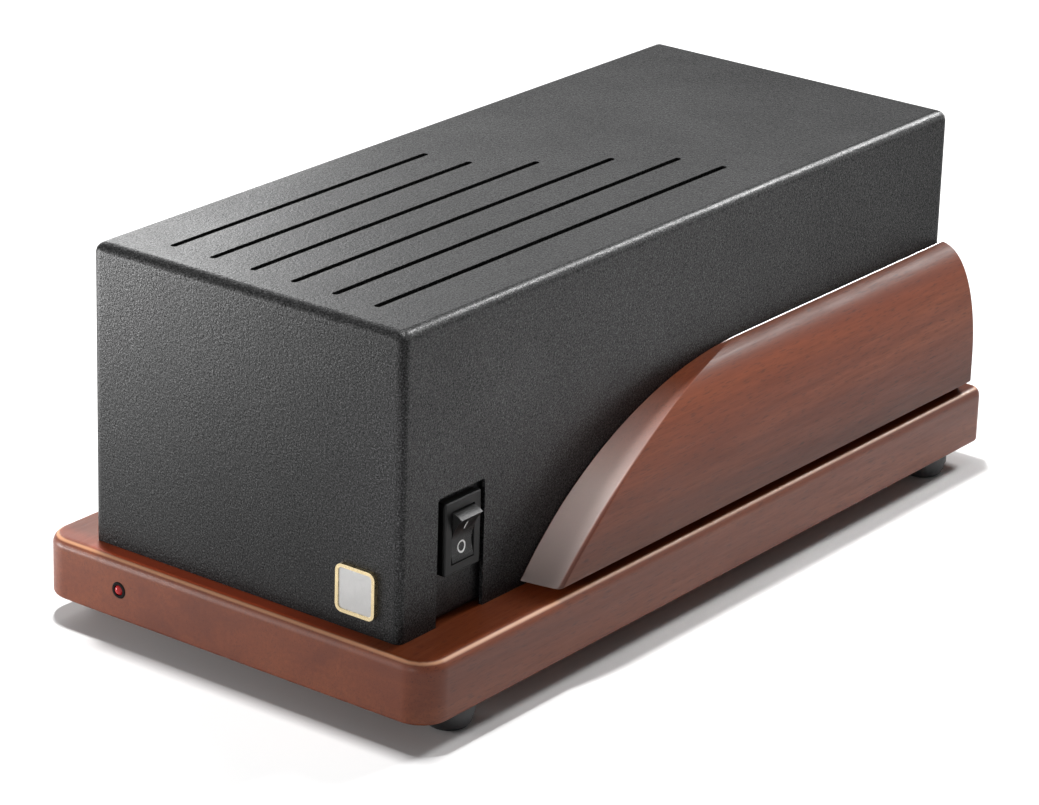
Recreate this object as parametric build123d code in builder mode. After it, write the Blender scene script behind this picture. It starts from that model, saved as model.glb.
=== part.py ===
from build123d import *
import math
import os

# Phono preamplifier: a folded steel cover over a chassis tray, on a wooden base board
# between two wooden cheeks. Millimetres, +Z up, front towards -Y, mains switch on +X.
# The origin is on the surface that the feet stand on, under the middle of the base board.

os.makedirs("parts", exist_ok=True)

# ---------------------------------------------------------------- driving dimensions
# Cover: folded and welded sheet, open underneath
cover_width = 108.5
cover_depth = 261.0
cover_height = 87.5
cover_sheet = 1.2
cover_corner_bend = 4.0         # outside radius of the upright bends
cover_top_bend = 3.0            # outside radius of the bends round the top
rear_lip = 12.0                 # return flange round the rear opening
vent_count = 6
vent_pitch = 14.2
vent_width = 2.0
vent_front_inset = 11.0         # from the cover's front to where all the vents start
vent_reach = 145.3              # mean distance from the cover's front to the far ends
vent_wave = 25.0                # the far ends follow a sine wave of this amplitude
vent_wave_length = 126.0

# Base board
board_thickness = 18.0
board_side_margin = 15.0        # board beyond the cover at each side
board_front_margin = 6.7
board_rear_margin = 7.5
board_front_corner = 9.0
board_rear_corner = 3.5
board_top_round = 3.0
board_bottom_round = 1.1

# Screws
screw_gap = 0.1                 # radial room round a screw in its hole
screw_head_ratio = 1.75         # head radius to shank radius
screw_crown_ratio = 0.6         # half the head's height to shank radius

# Feet
foot_height = 7.0
foot_radius = 7.3
foot_tip_radius = 4.6
foot_band = 2.6                 # straight band above the rounded tip
foot_groove = 0.4               # step between the band and the tip
foot_side_inset = 8.4
foot_end_inset = 20.0
foot_screw_radius = 1.75
foot_screw_grip = 9.0           # screw length inside the board
foot_recess_depth = 3.2
foot_recess_radius = 3.3

# Cheeks
cheek_thickness = 14.0
cheek_height = 45.3
cheek_oval = 35.3               # upright half axis of the cheek's quarter oval
cheek_foot_round = 4.0
cheek_arc_radius = 138.0        # front of the cheek, seen from the side
cheek_arc_start = 151.0         # from the cover's front to where the arc leaves the top
cheek_rear_overhang = 1.0       # cheek beyond the cover's rear
cheek_gap = 0.15                # between cheek and cover
cheek_screw_count = 3
cheek_screw_radius = 2.0
cheek_screw_counterbore = 3.9
cheek_screw_grip = 12.0         # screw length inside the cheek
cheek_screw_recess = 6.0
cheek_screw_end = 38.0          # first and last screw from the cheek's ends

# Chassis tray and rear panel
chassis_sheet = 1.5
chassis_gap = 1.0               # between tray and cover
chassis_bend = 2.5
chassis_wall = 44.0
chassis_front_wall = 14.0
chassis_screw_radius = 1.75
chassis_screw_grip = 12.0
chassis_screw_inset = 7.0       # from the tray's inner wall
chassis_screw_front_inset = 30.0
panel_sheet = 2.0
panel_gap = 0.3                 # between panel and the cover's bends
panel_foot = 10.0               # forward flange that stands on the tray
cover_screw_radius = 1.5
cover_screw_low = 12.0          # lower pair, above the board
cover_screw_high = 68.0
cover_screw_tail = 2.0          # screw length behind the panel
rear_fitting_gap = 0.8          # between the rear fittings and the return flange

# Mains switch
notch_width = 20.0
notch_height = 37.0
notch_centre = 25.4             # from the cover's front
notch_round = 0.8
bezel_width = 15.0
bezel_height = 21.0
bezel_proud = 0.7               # bezel face beyond the cover's face
bezel_edge_round = 0.6
bezel_centre_z = 24.3           # above the board
switch_body_width = 12.8
switch_body_height = 19.0
switch_body_depth = 13.0        # behind the bezel
switch_cut_gap = 0.2
rocker_width = 9.0
rocker_radius = 7.4             # rocker ends turn about the pivot at this radius
rocker_peak = 3.2               # height of the rocker's peaks above the pivot
rocker_hollow = 1.3             # height of its hollow face above the pivot
rocker_depth = 3.0              # rocker below the pivot
rocker_gap = 0.35               # between rocker and window
rocker_tilt = 12.0              # degrees each side of the middle
rocker_pivot_depth = 1.5        # pivot behind the bezel's face
pivot_radius = 1.0
pivot_length = 0.9
pivot_clearance = 0.05
terminal_width = 4.8
terminal_thickness = 0.8
terminal_length = 8.0

# Lamp in the board's front edge
led_side_inset = 29.8           # from the board's left side
led_ring_radius = 2.45
led_radius = 1.5
led_clearance = 0.03
led_ring_length = 8.0
led_ring_proud = 0.25
led_dome_proud = 0.8
led_body_length = 5.3
led_wire_bore = 3.0
led_wire_set_back = 32.0        # upright wire hole behind the board's front

# Badge on the cover's front
badge_width = 13.4
badge_height = 13.9
badge_round = 2.2
badge_rim_width = 1.0
badge_thickness = 1.3
badge_side_inset = 14.35        # from the cover's right side
badge_centre_z = 11.8

# Circuit board
pcb_thickness = 1.6
pcb_length = 150.0
pcb_side_gap = 3.5
pcb_rear_gap = 36.0             # behind the board, for the sockets' wiring
standoff_height = 8.0
standoff_radius = 3.0
pcb_hole_inset = 5.0
pcb_screw_radius = 1.5

# Valves and their sockets
valve_count = 3
valve_pitch = 28.0
valve_radius = 10.2
valve_height = 46.0
valve_glass = 0.9
valve_tip_radius = 2.2
valve_tip_height = 3.5
valve_front_inset = 20.0        # from the circuit board's front edge
socket_radius = 11.0
socket_height = 9.0
valve_plate_radius = 5.5
valve_plate_height = 24.0
valve_base_height = 3.0

# Capacitors, rectifier and regulator
filter_count = 4
filter_radius = 8.0
filter_height = 30.0
filter_pitch = 21.0
filter_front_inset = 58.0
coupling_count = 4
coupling_length = 26.0
coupling_width = 10.0
coupling_height = 18.0
coupling_front_inset = 98.0
rectifier_width = 19.0
rectifier_depth = 5.5
rectifier_height = 15.0
regulator_front_inset = 128.0
heatsink_width = 30.0
heatsink_depth = 12.0
heatsink_height = 25.0
heatsink_web = 3.0
heatsink_fin = 1.4
heatsink_fin_count = 6
regulator_width = 10.0
regulator_thickness = 4.5
regulator_height = 15.0

# Transformer
core_width = 57.0
core_height = 48.0
core_stack = 22.0
core_leg = 19.0
window_width = 9.5
window_height = 28.5
winding_gap = 0.3
strap_thickness = 1.2
strap_tab = 10.0
transformer_offset = 8.0        # from the middle, towards -X
transformer_set_back = 58.0     # from the cover's front to the core's middle
transformer_screw_radius = 1.75

# Mains inlet with fuse drawer
inlet_width = 31.0
inlet_height = 35.0
inlet_flange = 2.5
inlet_corner = 3.0
inlet_body_margin = 2.0
inlet_body_depth = 22.0
inlet_centre_z = 34.0           # above the board
socket_width = 24.4
socket_tall = 16.6
socket_chamfer = 4.5
socket_depth = 16.5
socket_rise = 6.2               # middle of the socket above the inlet's middle
blade_pitch = 7.0
blade_drop = 2.0
blade_thickness = 2.0
blade_height = 4.0
blade_length = 14.0
blade_tail = 8.0
drawer_width = 24.4
drawer_height = 8.0
drawer_drop = 10.6              # middle of the drawer below the inlet's middle
drawer_gap = 0.3
drawer_lip = 1.2
drawer_travel = 12.0
drawer_engaged = 1.0            # of the drawer still in its bore when drawn out
fuse_radius = 2.6
fuse_length = 20.0
fuse_cap = 5.0
fuse_cap_wall = 0.2

# Phono sockets and ground post
jack_pitch_x = 20.0
jack_pitch_z = 19.0
jack_low_z = 22.0               # lower pair, above the board
jack_shell_radius = 4.15
jack_shell_length = 8.2
jack_shell_wall = 0.6
jack_thread_radius = 4.5
jack_tail_length = 9.0
jack_nut_flats = 12.0
jack_nut_thickness = 2.0
jack_contact_radius = 2.2
jack_bore_radius = 1.6
jack_bore_depth = 7.5
panel_hole_gap = 0.1
post_drop = 12.0                # under the return flange along the top
post_radius = 2.0
post_head_radius = 4.0
post_head_thickness = 2.5
post_washer_radius = 4.6
post_washer_thickness = 1.0
post_nut_radius = 4.8
post_nut_thickness = 4.2
post_nut_flutes = 18
post_nut_flute = 0.35           # depth of the grip's flutes
post_fit = 0.05
post_travel = 2.8               # lift of the thumb nut in four turns of the thread
post_rest = 0.3                 # stud still beyond the nut at the end of its lift

# ---------------------------------------------------------------- derived places
board_width = cover_width + 2 * board_side_margin
board_depth = cover_depth + board_front_margin + board_rear_margin
board_front = -board_depth / 2
drawer_depth = drawer_travel + drawer_engaged
post_length = post_washer_thickness + post_nut_thickness + post_travel + post_rest
board_bottom = foot_height
board_top = board_bottom + board_thickness

cover_front = board_front + board_front_margin
cover_rear = cover_front + cover_depth
cover_middle = (cover_front + cover_rear) / 2
cover_top = board_top + cover_height
cover_side = cover_width / 2

panel_face = cover_rear - cover_sheet
panel_inner = panel_face - panel_sheet
panel_side = cover_side - cover_corner_bend - panel_gap
panel_top = cover_top - cover_top_bend - panel_gap

chassis_side = cover_side - cover_sheet - chassis_gap
chassis_front = cover_front + cover_sheet + chassis_gap
chassis_inside = chassis_side - chassis_sheet
floor_top = board_top + chassis_sheet

front_face = Plane(origin=(0, cover_front, board_top), x_dir=(1, 0, 0), z_dir=(0, -1, 0))
side_face = Plane(origin=(cover_side, cover_front, board_top), x_dir=(0, 1, 0), z_dir=(1, 0, 0))
rear_inward = Plane(origin=(0, cover_rear, board_top), x_dir=(1, 0, 0), z_dir=(0, -1, 0))
panel_outward = Plane(origin=(0, panel_face, board_top), x_dir=(-1, 0, 0), z_dir=(0, 1, 0))
panel_back = Plane(origin=(0, panel_inner, board_top), x_dir=(1, 0, 0), z_dir=(0, -1, 0))


def pan_screw(radius, length):
    """Screw along Z with the underside of its domed head at Z = 0."""
    head_radius = screw_head_ratio * radius
    head_height = 2 * screw_crown_ratio * radius
    with BuildPart() as screw:
        with BuildSketch(Plane.XZ):
            with BuildLine():
                crown = screw_crown_ratio * radius
                Polyline((0, -length), (radius, -length), (radius, 0), (head_radius, 0),
                         (head_radius, crown), (head_radius - crown, head_height), (0, head_height),
                         (0, -length))
            make_face()
        revolve(axis=Axis.Z)
    return screw.part


# ---------------------------------------------------------------- wooden base
foot_x = board_width / 2 - foot_side_inset
foot_y = board_depth / 2 - foot_end_inset
foot_places = [(foot_x, foot_y), (foot_x, -foot_y), (-foot_x, foot_y), (-foot_x, -foot_y)]

cheek_inner = cover_side + cheek_gap
cheek_front = cover_front + cheek_arc_start - math.sqrt(
    cheek_arc_radius ** 2 - (cheek_arc_radius - cheek_height) ** 2)
cheek_rear = cover_rear + cheek_rear_overhang
cheek_screw_x = cheek_inner + cheek_thickness / 2
cheek_screw_step = (cheek_rear - cheek_front - 2 * cheek_screw_end) / (cheek_screw_count - 1)
cheek_screw_places = [
    (side * cheek_screw_x, cheek_front + cheek_screw_end + i * cheek_screw_step)
    for side in (1, -1) for i in range(cheek_screw_count)]

led_x = led_side_inset - board_width / 2
led_z = (board_bottom + board_top) / 2
led_wire_y = board_front + led_wire_set_back

chassis_rear = panel_inner
chassis_screw_x = chassis_inside - chassis_screw_inset
chassis_screw_front = chassis_front + chassis_screw_front_inset
chassis_screw_rear = panel_inner - panel_foot - chassis_screw_inset
chassis_screw_places = [
    (side * chassis_screw_x, y)
    for side in (1, -1) for y in (chassis_screw_front, chassis_screw_rear)]

with BuildPart() as base_board:
    with BuildSketch(Plane.XY.offset(board_bottom)) as board_plan:
        Rectangle(board_width, board_depth)
        fillet(board_plan.vertices().group_by(Axis.Y)[0], board_front_corner)
        fillet(board_plan.vertices().group_by(Axis.Y)[-1], board_rear_corner)
    extrude(amount=board_thickness)
    fillet(base_board.faces().sort_by(Axis.Z)[-1].edges(), board_top_round)
    fillet(base_board.faces().sort_by(Axis.Z)[0].edges(), board_bottom_round)
    # lamp bore from the front edge, met by an upright hole for its wires
    with BuildSketch(Plane(origin=(led_x, board_front, led_z), z_dir=(0, 1, 0))):
        Circle(led_ring_radius)
    extrude(amount=led_wire_set_back, mode=Mode.SUBTRACT)
    with BuildSketch(Plane.XY.offset(board_top)):
        with Locations((led_x, led_wire_y)):
            Circle(led_wire_bore)
    extrude(amount=-(board_top - led_z), mode=Mode.SUBTRACT)
    # pilot holes for the feet from below and for the tray from above
    with BuildSketch(Plane.XY.offset(board_bottom)):
        with Locations(*foot_places):
            Circle(foot_screw_radius + screw_gap)
    extrude(amount=foot_screw_grip, mode=Mode.SUBTRACT)
    with BuildSketch(Plane.XY.offset(board_top)):
        with Locations(*chassis_screw_places):
            Circle(chassis_screw_radius + screw_gap)
    extrude(amount=-chassis_screw_grip, mode=Mode.SUBTRACT)
    # counterbored holes for the cheek screws
    with BuildSketch(Plane.XY.offset(board_bottom)):
        with Locations(*cheek_screw_places):
            Circle(cheek_screw_radius + screw_gap)
    extrude(amount=board_thickness, mode=Mode.SUBTRACT)
    with BuildSketch(Plane.XY.offset(board_bottom)):
        with Locations(*cheek_screw_places):
            Circle(cheek_screw_counterbore)
    extrude(amount=cheek_screw_recess, mode=Mode.SUBTRACT)
base_board.part.label = "base_board"
export_step(base_board.part, "parts/base_board.step")

# turned foot with a rounded tip and a recess for its screw
foot_bore = foot_screw_radius + screw_gap
tip_height = foot_height - foot_band
with BuildPart() as feet:
    with BuildSketch(Plane.XZ):
        with BuildLine():
            Polyline((foot_bore, foot_height), (foot_radius, foot_height), (foot_radius, tip_height),
                     (foot_radius - foot_groove, tip_height))
            EllipticalCenterArc((foot_tip_radius, tip_height), foot_radius - foot_groove - foot_tip_radius,
                                tip_height, start_angle=0, arc_size=-90)
            Polyline((foot_tip_radius, 0), (foot_recess_radius, 0),
                     (foot_recess_radius, foot_recess_depth), (foot_bore, foot_recess_depth),
                     (foot_bore, foot_height))
        make_face()
    revolve(axis=Axis.Z)
foot = feet.part
with BuildPart() as feet:
    with Locations(*foot_places):
        add(foot)
feet.part.label = "feet"
export_step(feet.part, "parts/feet.step")

foot_screw = pan_screw(foot_screw_radius, foot_screw_grip + foot_height - foot_recess_depth)
with BuildPart() as foot_screws:
    with Locations(*[Location((x, y, foot_recess_depth), (180, 0, 0)) for x, y in foot_places]):
        add(foot_screw)
foot_screws.part.label = "foot_screws"
export_step(foot_screws.part, "parts/foot_screws.step")

# ---------------------------------------------------------------- cheeks
cheek_oval_centre = board_top + cheek_height - cheek_oval
cheek_arc_angle = math.degrees(math.acos(1 - cheek_height / cheek_arc_radius))
with BuildPart() as cheek_right:
    # outline from the side: a long arc that rises from the board and runs out into the top
    with BuildSketch(Plane.YZ.offset(cheek_inner)):
        with BuildLine():
            top_rear = (cheek_rear, board_top + cheek_height)
            arc_top = (cover_front + cheek_arc_start, board_top + cheek_height)
            Line(top_rear, arc_top)
            rise = JernArc(start=arc_top, tangent=(-1, 0), radius=cheek_arc_radius,
                           arc_size=cheek_arc_angle)
            Polyline(rise @ 1, (cheek_rear, board_top), top_rear)
        make_face()
    extrude(amount=cheek_thickness)
    # cross-section: a quarter oval above an upright face with a rounded foot
    with BuildSketch(Plane(origin=(0, cheek_rear, 0), x_dir=(1, 0, 0), z_dir=(0, -1, 0))):
        with BuildLine():
            oval = EllipticalCenterArc((cheek_inner, cheek_oval_centre), cheek_thickness, cheek_oval,
                                       start_angle=0, arc_size=90)
            outer = cheek_inner + cheek_thickness
            Line((outer, cheek_oval_centre), (outer, board_top + cheek_foot_round))
            RadiusArc((outer, board_top + cheek_foot_round), (outer - cheek_foot_round, board_top),
                      cheek_foot_round)
            Polyline((outer - cheek_foot_round, board_top), (cheek_inner, board_top), oval @ 1)
        make_face()
    extrude(amount=cheek_rear - cheek_front, mode=Mode.INTERSECT)
    with BuildSketch(Plane.XY.offset(board_top)):
        with Locations(*[(x, y) for x, y in cheek_screw_places if x > 0]):
            Circle(cheek_screw_radius + screw_gap)
    extrude(amount=cheek_screw_grip, mode=Mode.SUBTRACT)
cheek_right.part.label = "cheek_right"
export_step(cheek_right.part, "parts/cheek_right.step")

with BuildPart() as cheek_left:
    mirror(cheek_right.part, about=Plane.YZ)
cheek_left.part.label = "cheek_left"
export_step(cheek_left.part, "parts/cheek_left.step")

cheek_screw = pan_screw(cheek_screw_radius, board_thickness - cheek_screw_recess + cheek_screw_grip)
with BuildPart() as cheek_screws:
    with Locations(*[Location((x, y, board_bottom + cheek_screw_recess), (180, 0, 0))
                     for x, y in cheek_screw_places]):
        add(cheek_screw)
cheek_screws.part.label = "cheek_screws"
export_step(cheek_screws.part, "parts/cheek_screws.step")

# ---------------------------------------------------------------- lamp
with BuildPart() as led_ring:
    with BuildSketch(Plane(origin=(led_x, board_front - led_ring_proud, led_z), z_dir=(0, 1, 0))):
        Circle(led_ring_radius)
        Circle(led_radius + led_clearance, mode=Mode.SUBTRACT)
    extrude(amount=led_ring_length)
    chamfer(led_ring.edges().filter_by(GeomType.CIRCLE).group_by(Axis.Y)[0].sort_by(SortBy.RADIUS)[-1],
            led_ring_proud)
led_ring.part.label = "led_ring"
export_step(led_ring.part, "parts/led_ring.step")

with BuildPart() as led_lens:
    with BuildSketch(Plane.XY):
        with BuildLine():
            Line((0, 0), (0, led_body_length))
            Polyline((0, led_body_length), (led_radius, led_body_length), (led_radius, led_radius))
            RadiusArc((led_radius, led_radius), (0, 0), led_radius)
        make_face()
    revolve(axis=Axis.Y)
lens = led_lens.part
with BuildPart() as led_lens:
    with Locations((led_x, board_front - led_dome_proud, led_z)):
        add(lens)
led_lens.part.label = "led_lens"
export_step(led_lens.part, "parts/led_lens.step")

# ---------------------------------------------------------------- cover
with BuildPart() as cover:
    with BuildSketch(Plane.XY.offset(board_top)):
        with Locations((0, cover_middle)):
            RectangleRounded(cover_width, cover_depth, cover_corner_bend)
    extrude(amount=cover_height)
    fillet(cover.faces().sort_by(Axis.Z)[-1].edges(), cover_top_bend)
    offset(amount=-cover_sheet, openings=cover.faces().sort_by(Axis.Z)[0])
    # rear opening inside the return flange
    with BuildSketch(rear_inward):
        with Locations((0, (cover_height - rear_lip) / 2)):
            Rectangle(cover_width - 2 * rear_lip, cover_height - rear_lip)
    extrude(amount=2 * cover_sheet, mode=Mode.SUBTRACT)
    # vents: parallel slots whose far ends follow a wave across the top
    for i in range(vent_count):
        vent_x = (i - (vent_count - 1) / 2) * vent_pitch
        vent_end = vent_reach + vent_wave * math.sin(2 * math.pi * vent_x / vent_wave_length)
        with BuildSketch(Plane.XY.offset(cover_top)):
            with Locations((vent_x, cover_front + (vent_front_inset + vent_end) / 2)):
                SlotOverall(vent_end - vent_front_inset, vent_width, rotation=90)
        extrude(amount=-2 * cover_sheet, mode=Mode.SUBTRACT)
    # notch round the mains switch, open at the bottom edge
    with BuildSketch(side_face) as notch:
        with Locations((notch_centre, notch_height / 2)):
            Rectangle(notch_width, notch_height)
        fillet(notch.vertices().group_by(Axis.Y)[-1], notch_round)
    extrude(amount=-2 * cover_sheet, mode=Mode.SUBTRACT)
    # holes for the screws through the return flange
    cover_screw_x = (panel_side + cover_side - rear_lip) / 2
    cover_screw_places = [(side * cover_screw_x, z)
                          for side in (1, -1) for z in (cover_screw_low, cover_screw_high)]
    with BuildSketch(rear_inward):
        with Locations(*cover_screw_places):
            Circle(cover_screw_radius + screw_gap)
    extrude(amount=2 * cover_sheet, mode=Mode.SUBTRACT)
cover.part.label = "cover"
export_step(cover.part, "parts/cover.step")

cover_screw = pan_screw(cover_screw_radius, cover_sheet + panel_sheet + cover_screw_tail)
with BuildPart() as cover_screws:
    with Locations(*[Location((x, cover_rear, board_top + z), (-90, 0, 0))
                     for x, z in cover_screw_places]):
        add(cover_screw)
cover_screws.part.label = "cover_screws"
export_step(cover_screws.part, "parts/cover_screws.step")

# badge: a plain plate in a rim, on the cover's front
badge_x = cover_side - badge_side_inset
with BuildPart() as badge_rim:
    with BuildSketch(front_face):
        with Locations((badge_x, badge_centre_z)):
            RectangleRounded(badge_width, badge_height, badge_round)
            RectangleRounded(badge_width - 2 * badge_rim_width, badge_height - 2 * badge_rim_width,
                             badge_round - badge_rim_width, mode=Mode.SUBTRACT)
    extrude(amount=badge_thickness)
badge_rim.part.label = "badge_rim"
export_step(badge_rim.part, "parts/badge_rim.step")

with BuildPart() as badge_plate:
    with BuildSketch(front_face):
        with Locations((badge_x, badge_centre_z)):
            RectangleRounded(badge_width - 2 * badge_rim_width, badge_height - 2 * badge_rim_width,
                             badge_round - badge_rim_width)
    extrude(amount=badge_thickness * 0.8)
badge_plate.part.label = "badge_plate"
export_step(badge_plate.part, "parts/badge_plate.step")

# ---------------------------------------------------------------- chassis tray
bezel_depth = cover_side + bezel_proud - chassis_side
switch_y = cover_front + notch_centre
switch_z = board_top + bezel_centre_z
bezel_face = chassis_side + bezel_depth

transformer_y = cover_front + transformer_set_back
strap_half = core_width / 2 + strap_thickness
transformer_screw_places = [
    (side * (strap_half + strap_tab / 2) - transformer_offset, transformer_y) for side in (1, -1)]

pcb_width = 2 * (chassis_inside - pcb_side_gap)
pcb_rear = panel_inner - pcb_rear_gap
pcb_front = pcb_rear - pcb_length
pcb_middle = (pcb_front + pcb_rear) / 2
pcb_bottom = floor_top + standoff_height
pcb_top = pcb_bottom + pcb_thickness
standoff_x = pcb_width / 2 - pcb_hole_inset
standoff_y = pcb_length / 2 - pcb_hole_inset
standoff_places = [(sx * standoff_x, pcb_middle + sy * standoff_y) for sx in (1, -1) for sy in (1, -1)]

panel_screw_places = [(side * panel_side / 2, panel_inner - panel_foot / 2) for side in (1, -1)]

with BuildPart() as chassis:
    with BuildSketch(Plane.XY.offset(board_top)):
        with Locations((0, (chassis_front + chassis_rear) / 2)):
            Rectangle(2 * chassis_side, chassis_rear - chassis_front)
    extrude(amount=chassis_wall)
    fillet(chassis.edges().filter_by(Axis.Y).group_by(Axis.Z)[0], chassis_bend)
    offset(amount=-chassis_sheet,
           openings=[chassis.faces().sort_by(Axis.Z)[-1], chassis.faces().sort_by(Axis.Y)[-1]])
    # the front wall is low
    with BuildSketch(Plane.XY.offset(board_top + chassis_front_wall)):
        with Locations((0, chassis_front)):
            Rectangle(2 * chassis_side, 2 * (chassis_sheet + chassis_bend))
    extrude(amount=chassis_wall, mode=Mode.SUBTRACT)
    # window for the mains switch
    with BuildSketch(side_face):
        with Locations((notch_centre, bezel_centre_z)):
            Rectangle(switch_body_width + 2 * switch_cut_gap, switch_body_height + 2 * switch_cut_gap)
    extrude(amount=-(cover_side - chassis_inside + chassis_sheet), mode=Mode.SUBTRACT)
    # holes through the floor
    with BuildSketch(Plane.XY.offset(board_top)):
        with Locations(*chassis_screw_places):
            Circle(chassis_screw_radius + screw_gap)
        with Locations(*transformer_screw_places):
            Circle(transformer_screw_radius + screw_gap)
        with Locations(*panel_screw_places):
            Circle(cover_screw_radius + screw_gap)
        with Locations((led_x, led_wire_y)):
            Circle(led_wire_bore)
    extrude(amount=chassis_sheet, mode=Mode.SUBTRACT)
chassis.part.label = "chassis"
export_step(chassis.part, "parts/chassis.step")

chassis_screw = pan_screw(chassis_screw_radius, chassis_sheet + chassis_screw_grip)
with BuildPart() as chassis_screws:
    with Locations(*[Location((x, y, floor_top)) for x, y in chassis_screw_places]):
        add(chassis_screw)
chassis_screws.part.label = "chassis_screws"
export_step(chassis_screws.part, "parts/chassis_screws.step")

# ---------------------------------------------------------------- rear panel
opening_side = cover_side - rear_lip - rear_fitting_gap
inlet_offset = opening_side - inlet_width / 2
inlet_x = -inlet_offset         # on panel_outward, whose x runs towards -X
jack_nut_corner = jack_nut_flats / 2 / math.cos(math.radians(30))
jack_x = opening_side - jack_nut_corner - jack_pitch_x / 2
post_z = cover_height - rear_lip - post_drop
jack_places = [(jack_x + sx * jack_pitch_x / 2, jack_low_z + row * jack_pitch_z)
               for sx in (1, -1) for row in (0, 1)]
inlet_cut_width = inlet_width - 2 * inlet_body_margin
inlet_cut_height = inlet_height - 2 * inlet_body_margin

with BuildPart() as rear_panel:
    with BuildSketch(panel_outward):
        with Locations((0, (panel_top - board_top + panel_gap) / 2)):
            Rectangle(2 * panel_side, panel_top - board_top - panel_gap)
        with Locations((inlet_x, inlet_centre_z)):
            Rectangle(inlet_cut_width + 2 * panel_hole_gap, inlet_cut_height + 2 * panel_hole_gap,
                      mode=Mode.SUBTRACT)
        with Locations(*jack_places):
            Circle(jack_thread_radius + panel_hole_gap, mode=Mode.SUBTRACT)
        with Locations((jack_x, post_z)):
            Circle(post_radius + panel_hole_gap, mode=Mode.SUBTRACT)
        with Locations(*cover_screw_places):
            Circle(cover_screw_radius + screw_gap, mode=Mode.SUBTRACT)
    extrude(amount=-panel_sheet)
    with BuildSketch(Plane.XY.offset(floor_top)):
        with Locations((0, panel_inner - panel_foot / 2)):
            Rectangle(2 * panel_side - 2 * chassis_bend, panel_foot)
        with Locations(*panel_screw_places):
            Circle(cover_screw_radius + screw_gap, mode=Mode.SUBTRACT)
    extrude(amount=panel_sheet)
rear_panel.part.label = "rear_panel"
export_step(rear_panel.part, "parts/rear_panel.step")

panel_screw = pan_screw(cover_screw_radius, chassis_sheet + panel_sheet)
with BuildPart() as panel_screws:
    with Locations(*[Location((x, y, floor_top + panel_sheet)) for x, y in panel_screw_places]):
        add(panel_screw)
panel_screws.part.label = "panel_screws"
export_step(panel_screws.part, "parts/panel_screws.step")

# ---------------------------------------------------------------- mains switch
bezel_outward = Plane(origin=(chassis_side, switch_y, switch_z), x_dir=(0, 1, 0), z_dir=(1, 0, 0))
pivot_x = bezel_face - rocker_pivot_depth
window_half = rocker_radius + rocker_gap
with BuildPart() as switch_housing:
    with BuildSketch(bezel_outward):
        RectangleRounded(bezel_width, bezel_height, bezel_edge_round)
    extrude(amount=bezel_depth)
    chamfer(switch_housing.faces().sort_by(Axis.X)[-1].edges(), bezel_edge_round / 2)
    with BuildSketch(bezel_outward):
        Rectangle(switch_body_width, switch_body_height)
    extrude(amount=-switch_body_depth)
    # well for the rocker
    with BuildSketch(bezel_outward.offset(bezel_depth)):
        Rectangle(rocker_width + 2 * rocker_gap, 2 * window_half)
    extrude(amount=-(rocker_pivot_depth + window_half), mode=Mode.SUBTRACT)
    # blind seats for the rocker's pivots
    with BuildSketch(Plane(origin=(pivot_x, switch_y, switch_z), z_dir=(0, 1, 0))):
        Circle(pivot_radius + pivot_clearance)
    extrude(amount=rocker_width / 2 + pivot_length + rocker_gap, both=True, mode=Mode.SUBTRACT)
switch_housing.part.label = "switch_housing"
export_step(switch_housing.part, "parts/switch_housing.step")

# rocker: ends turned about the pivot, hollow face between two peaks; "off" end pressed in
rocker_plane = Plane(
    origin=(pivot_x, switch_y, switch_z), z_dir=(0, -1, 0),
    x_dir=(math.cos(math.radians(rocker_tilt)), 0, -math.sin(math.radians(rocker_tilt))))
peak_z = math.sqrt(rocker_radius ** 2 - rocker_peak ** 2)
foot_z = math.sqrt(rocker_radius ** 2 - rocker_depth ** 2)
with BuildPart() as switch_rocker:
    with BuildSketch(rocker_plane):
        with BuildLine():
            ThreePointArc((rocker_peak, -peak_z), (rocker_hollow, 0), (rocker_peak, peak_z))
            ThreePointArc((rocker_peak, peak_z), (0, rocker_radius), (-rocker_depth, foot_z))
            Line((-rocker_depth, foot_z), (-rocker_depth, -foot_z))
            ThreePointArc((-rocker_depth, -foot_z), (0, -rocker_radius), (rocker_peak, -peak_z))
        make_face()
    extrude(amount=rocker_width / 2, both=True)
    with BuildSketch(rocker_plane):
        Circle(pivot_radius)
    extrude(amount=rocker_width / 2 + pivot_length, both=True)
switch_rocker.part.label = "switch_rocker"
export_step(switch_rocker.part, "parts/switch_rocker.step")

with BuildPart() as switch_terminals:
    with BuildSketch(bezel_outward.offset(-switch_body_depth)):
        with GridLocations(0, switch_body_height / 2, 1, 2):
            Rectangle(terminal_width, terminal_thickness)
    extrude(amount=-terminal_length)
switch_terminals.part.label = "switch_terminals"
export_step(switch_terminals.part, "parts/switch_terminals.step")

# ---------------------------------------------------------------- mains inlet
inlet_face = panel_outward.offset(inlet_flange)
socket_z = inlet_centre_z + socket_rise
drawer_z = inlet_centre_z - drawer_drop
with BuildPart() as inlet_housing:
    with BuildSketch(panel_outward):
        with Locations((inlet_x, inlet_centre_z)):
            RectangleRounded(inlet_width, inlet_height, inlet_corner)
    extrude(amount=inlet_flange)
    with BuildSketch(panel_outward):
        with Locations((inlet_x, inlet_centre_z)):
            Rectangle(inlet_cut_width, inlet_cut_height)
    extrude(amount=-inlet_body_depth)
    # six-sided plug well, two corners cut off
    with BuildSketch(inlet_face) as well:
        with Locations((inlet_x, socket_z)):
            Rectangle(socket_width, socket_tall)
        chamfer(well.vertices().group_by(Axis.Y)[-1], socket_chamfer)
    extrude(amount=-socket_depth, mode=Mode.SUBTRACT)
    # drawer slot
    with BuildSketch(inlet_face):
        with Locations((inlet_x, drawer_z)):
            Rectangle(drawer_width + 2 * drawer_gap, drawer_height + 2 * drawer_gap)
    extrude(amount=-(drawer_depth + drawer_gap), mode=Mode.SUBTRACT)
inlet_housing.part.label = "inlet_housing"
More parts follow.
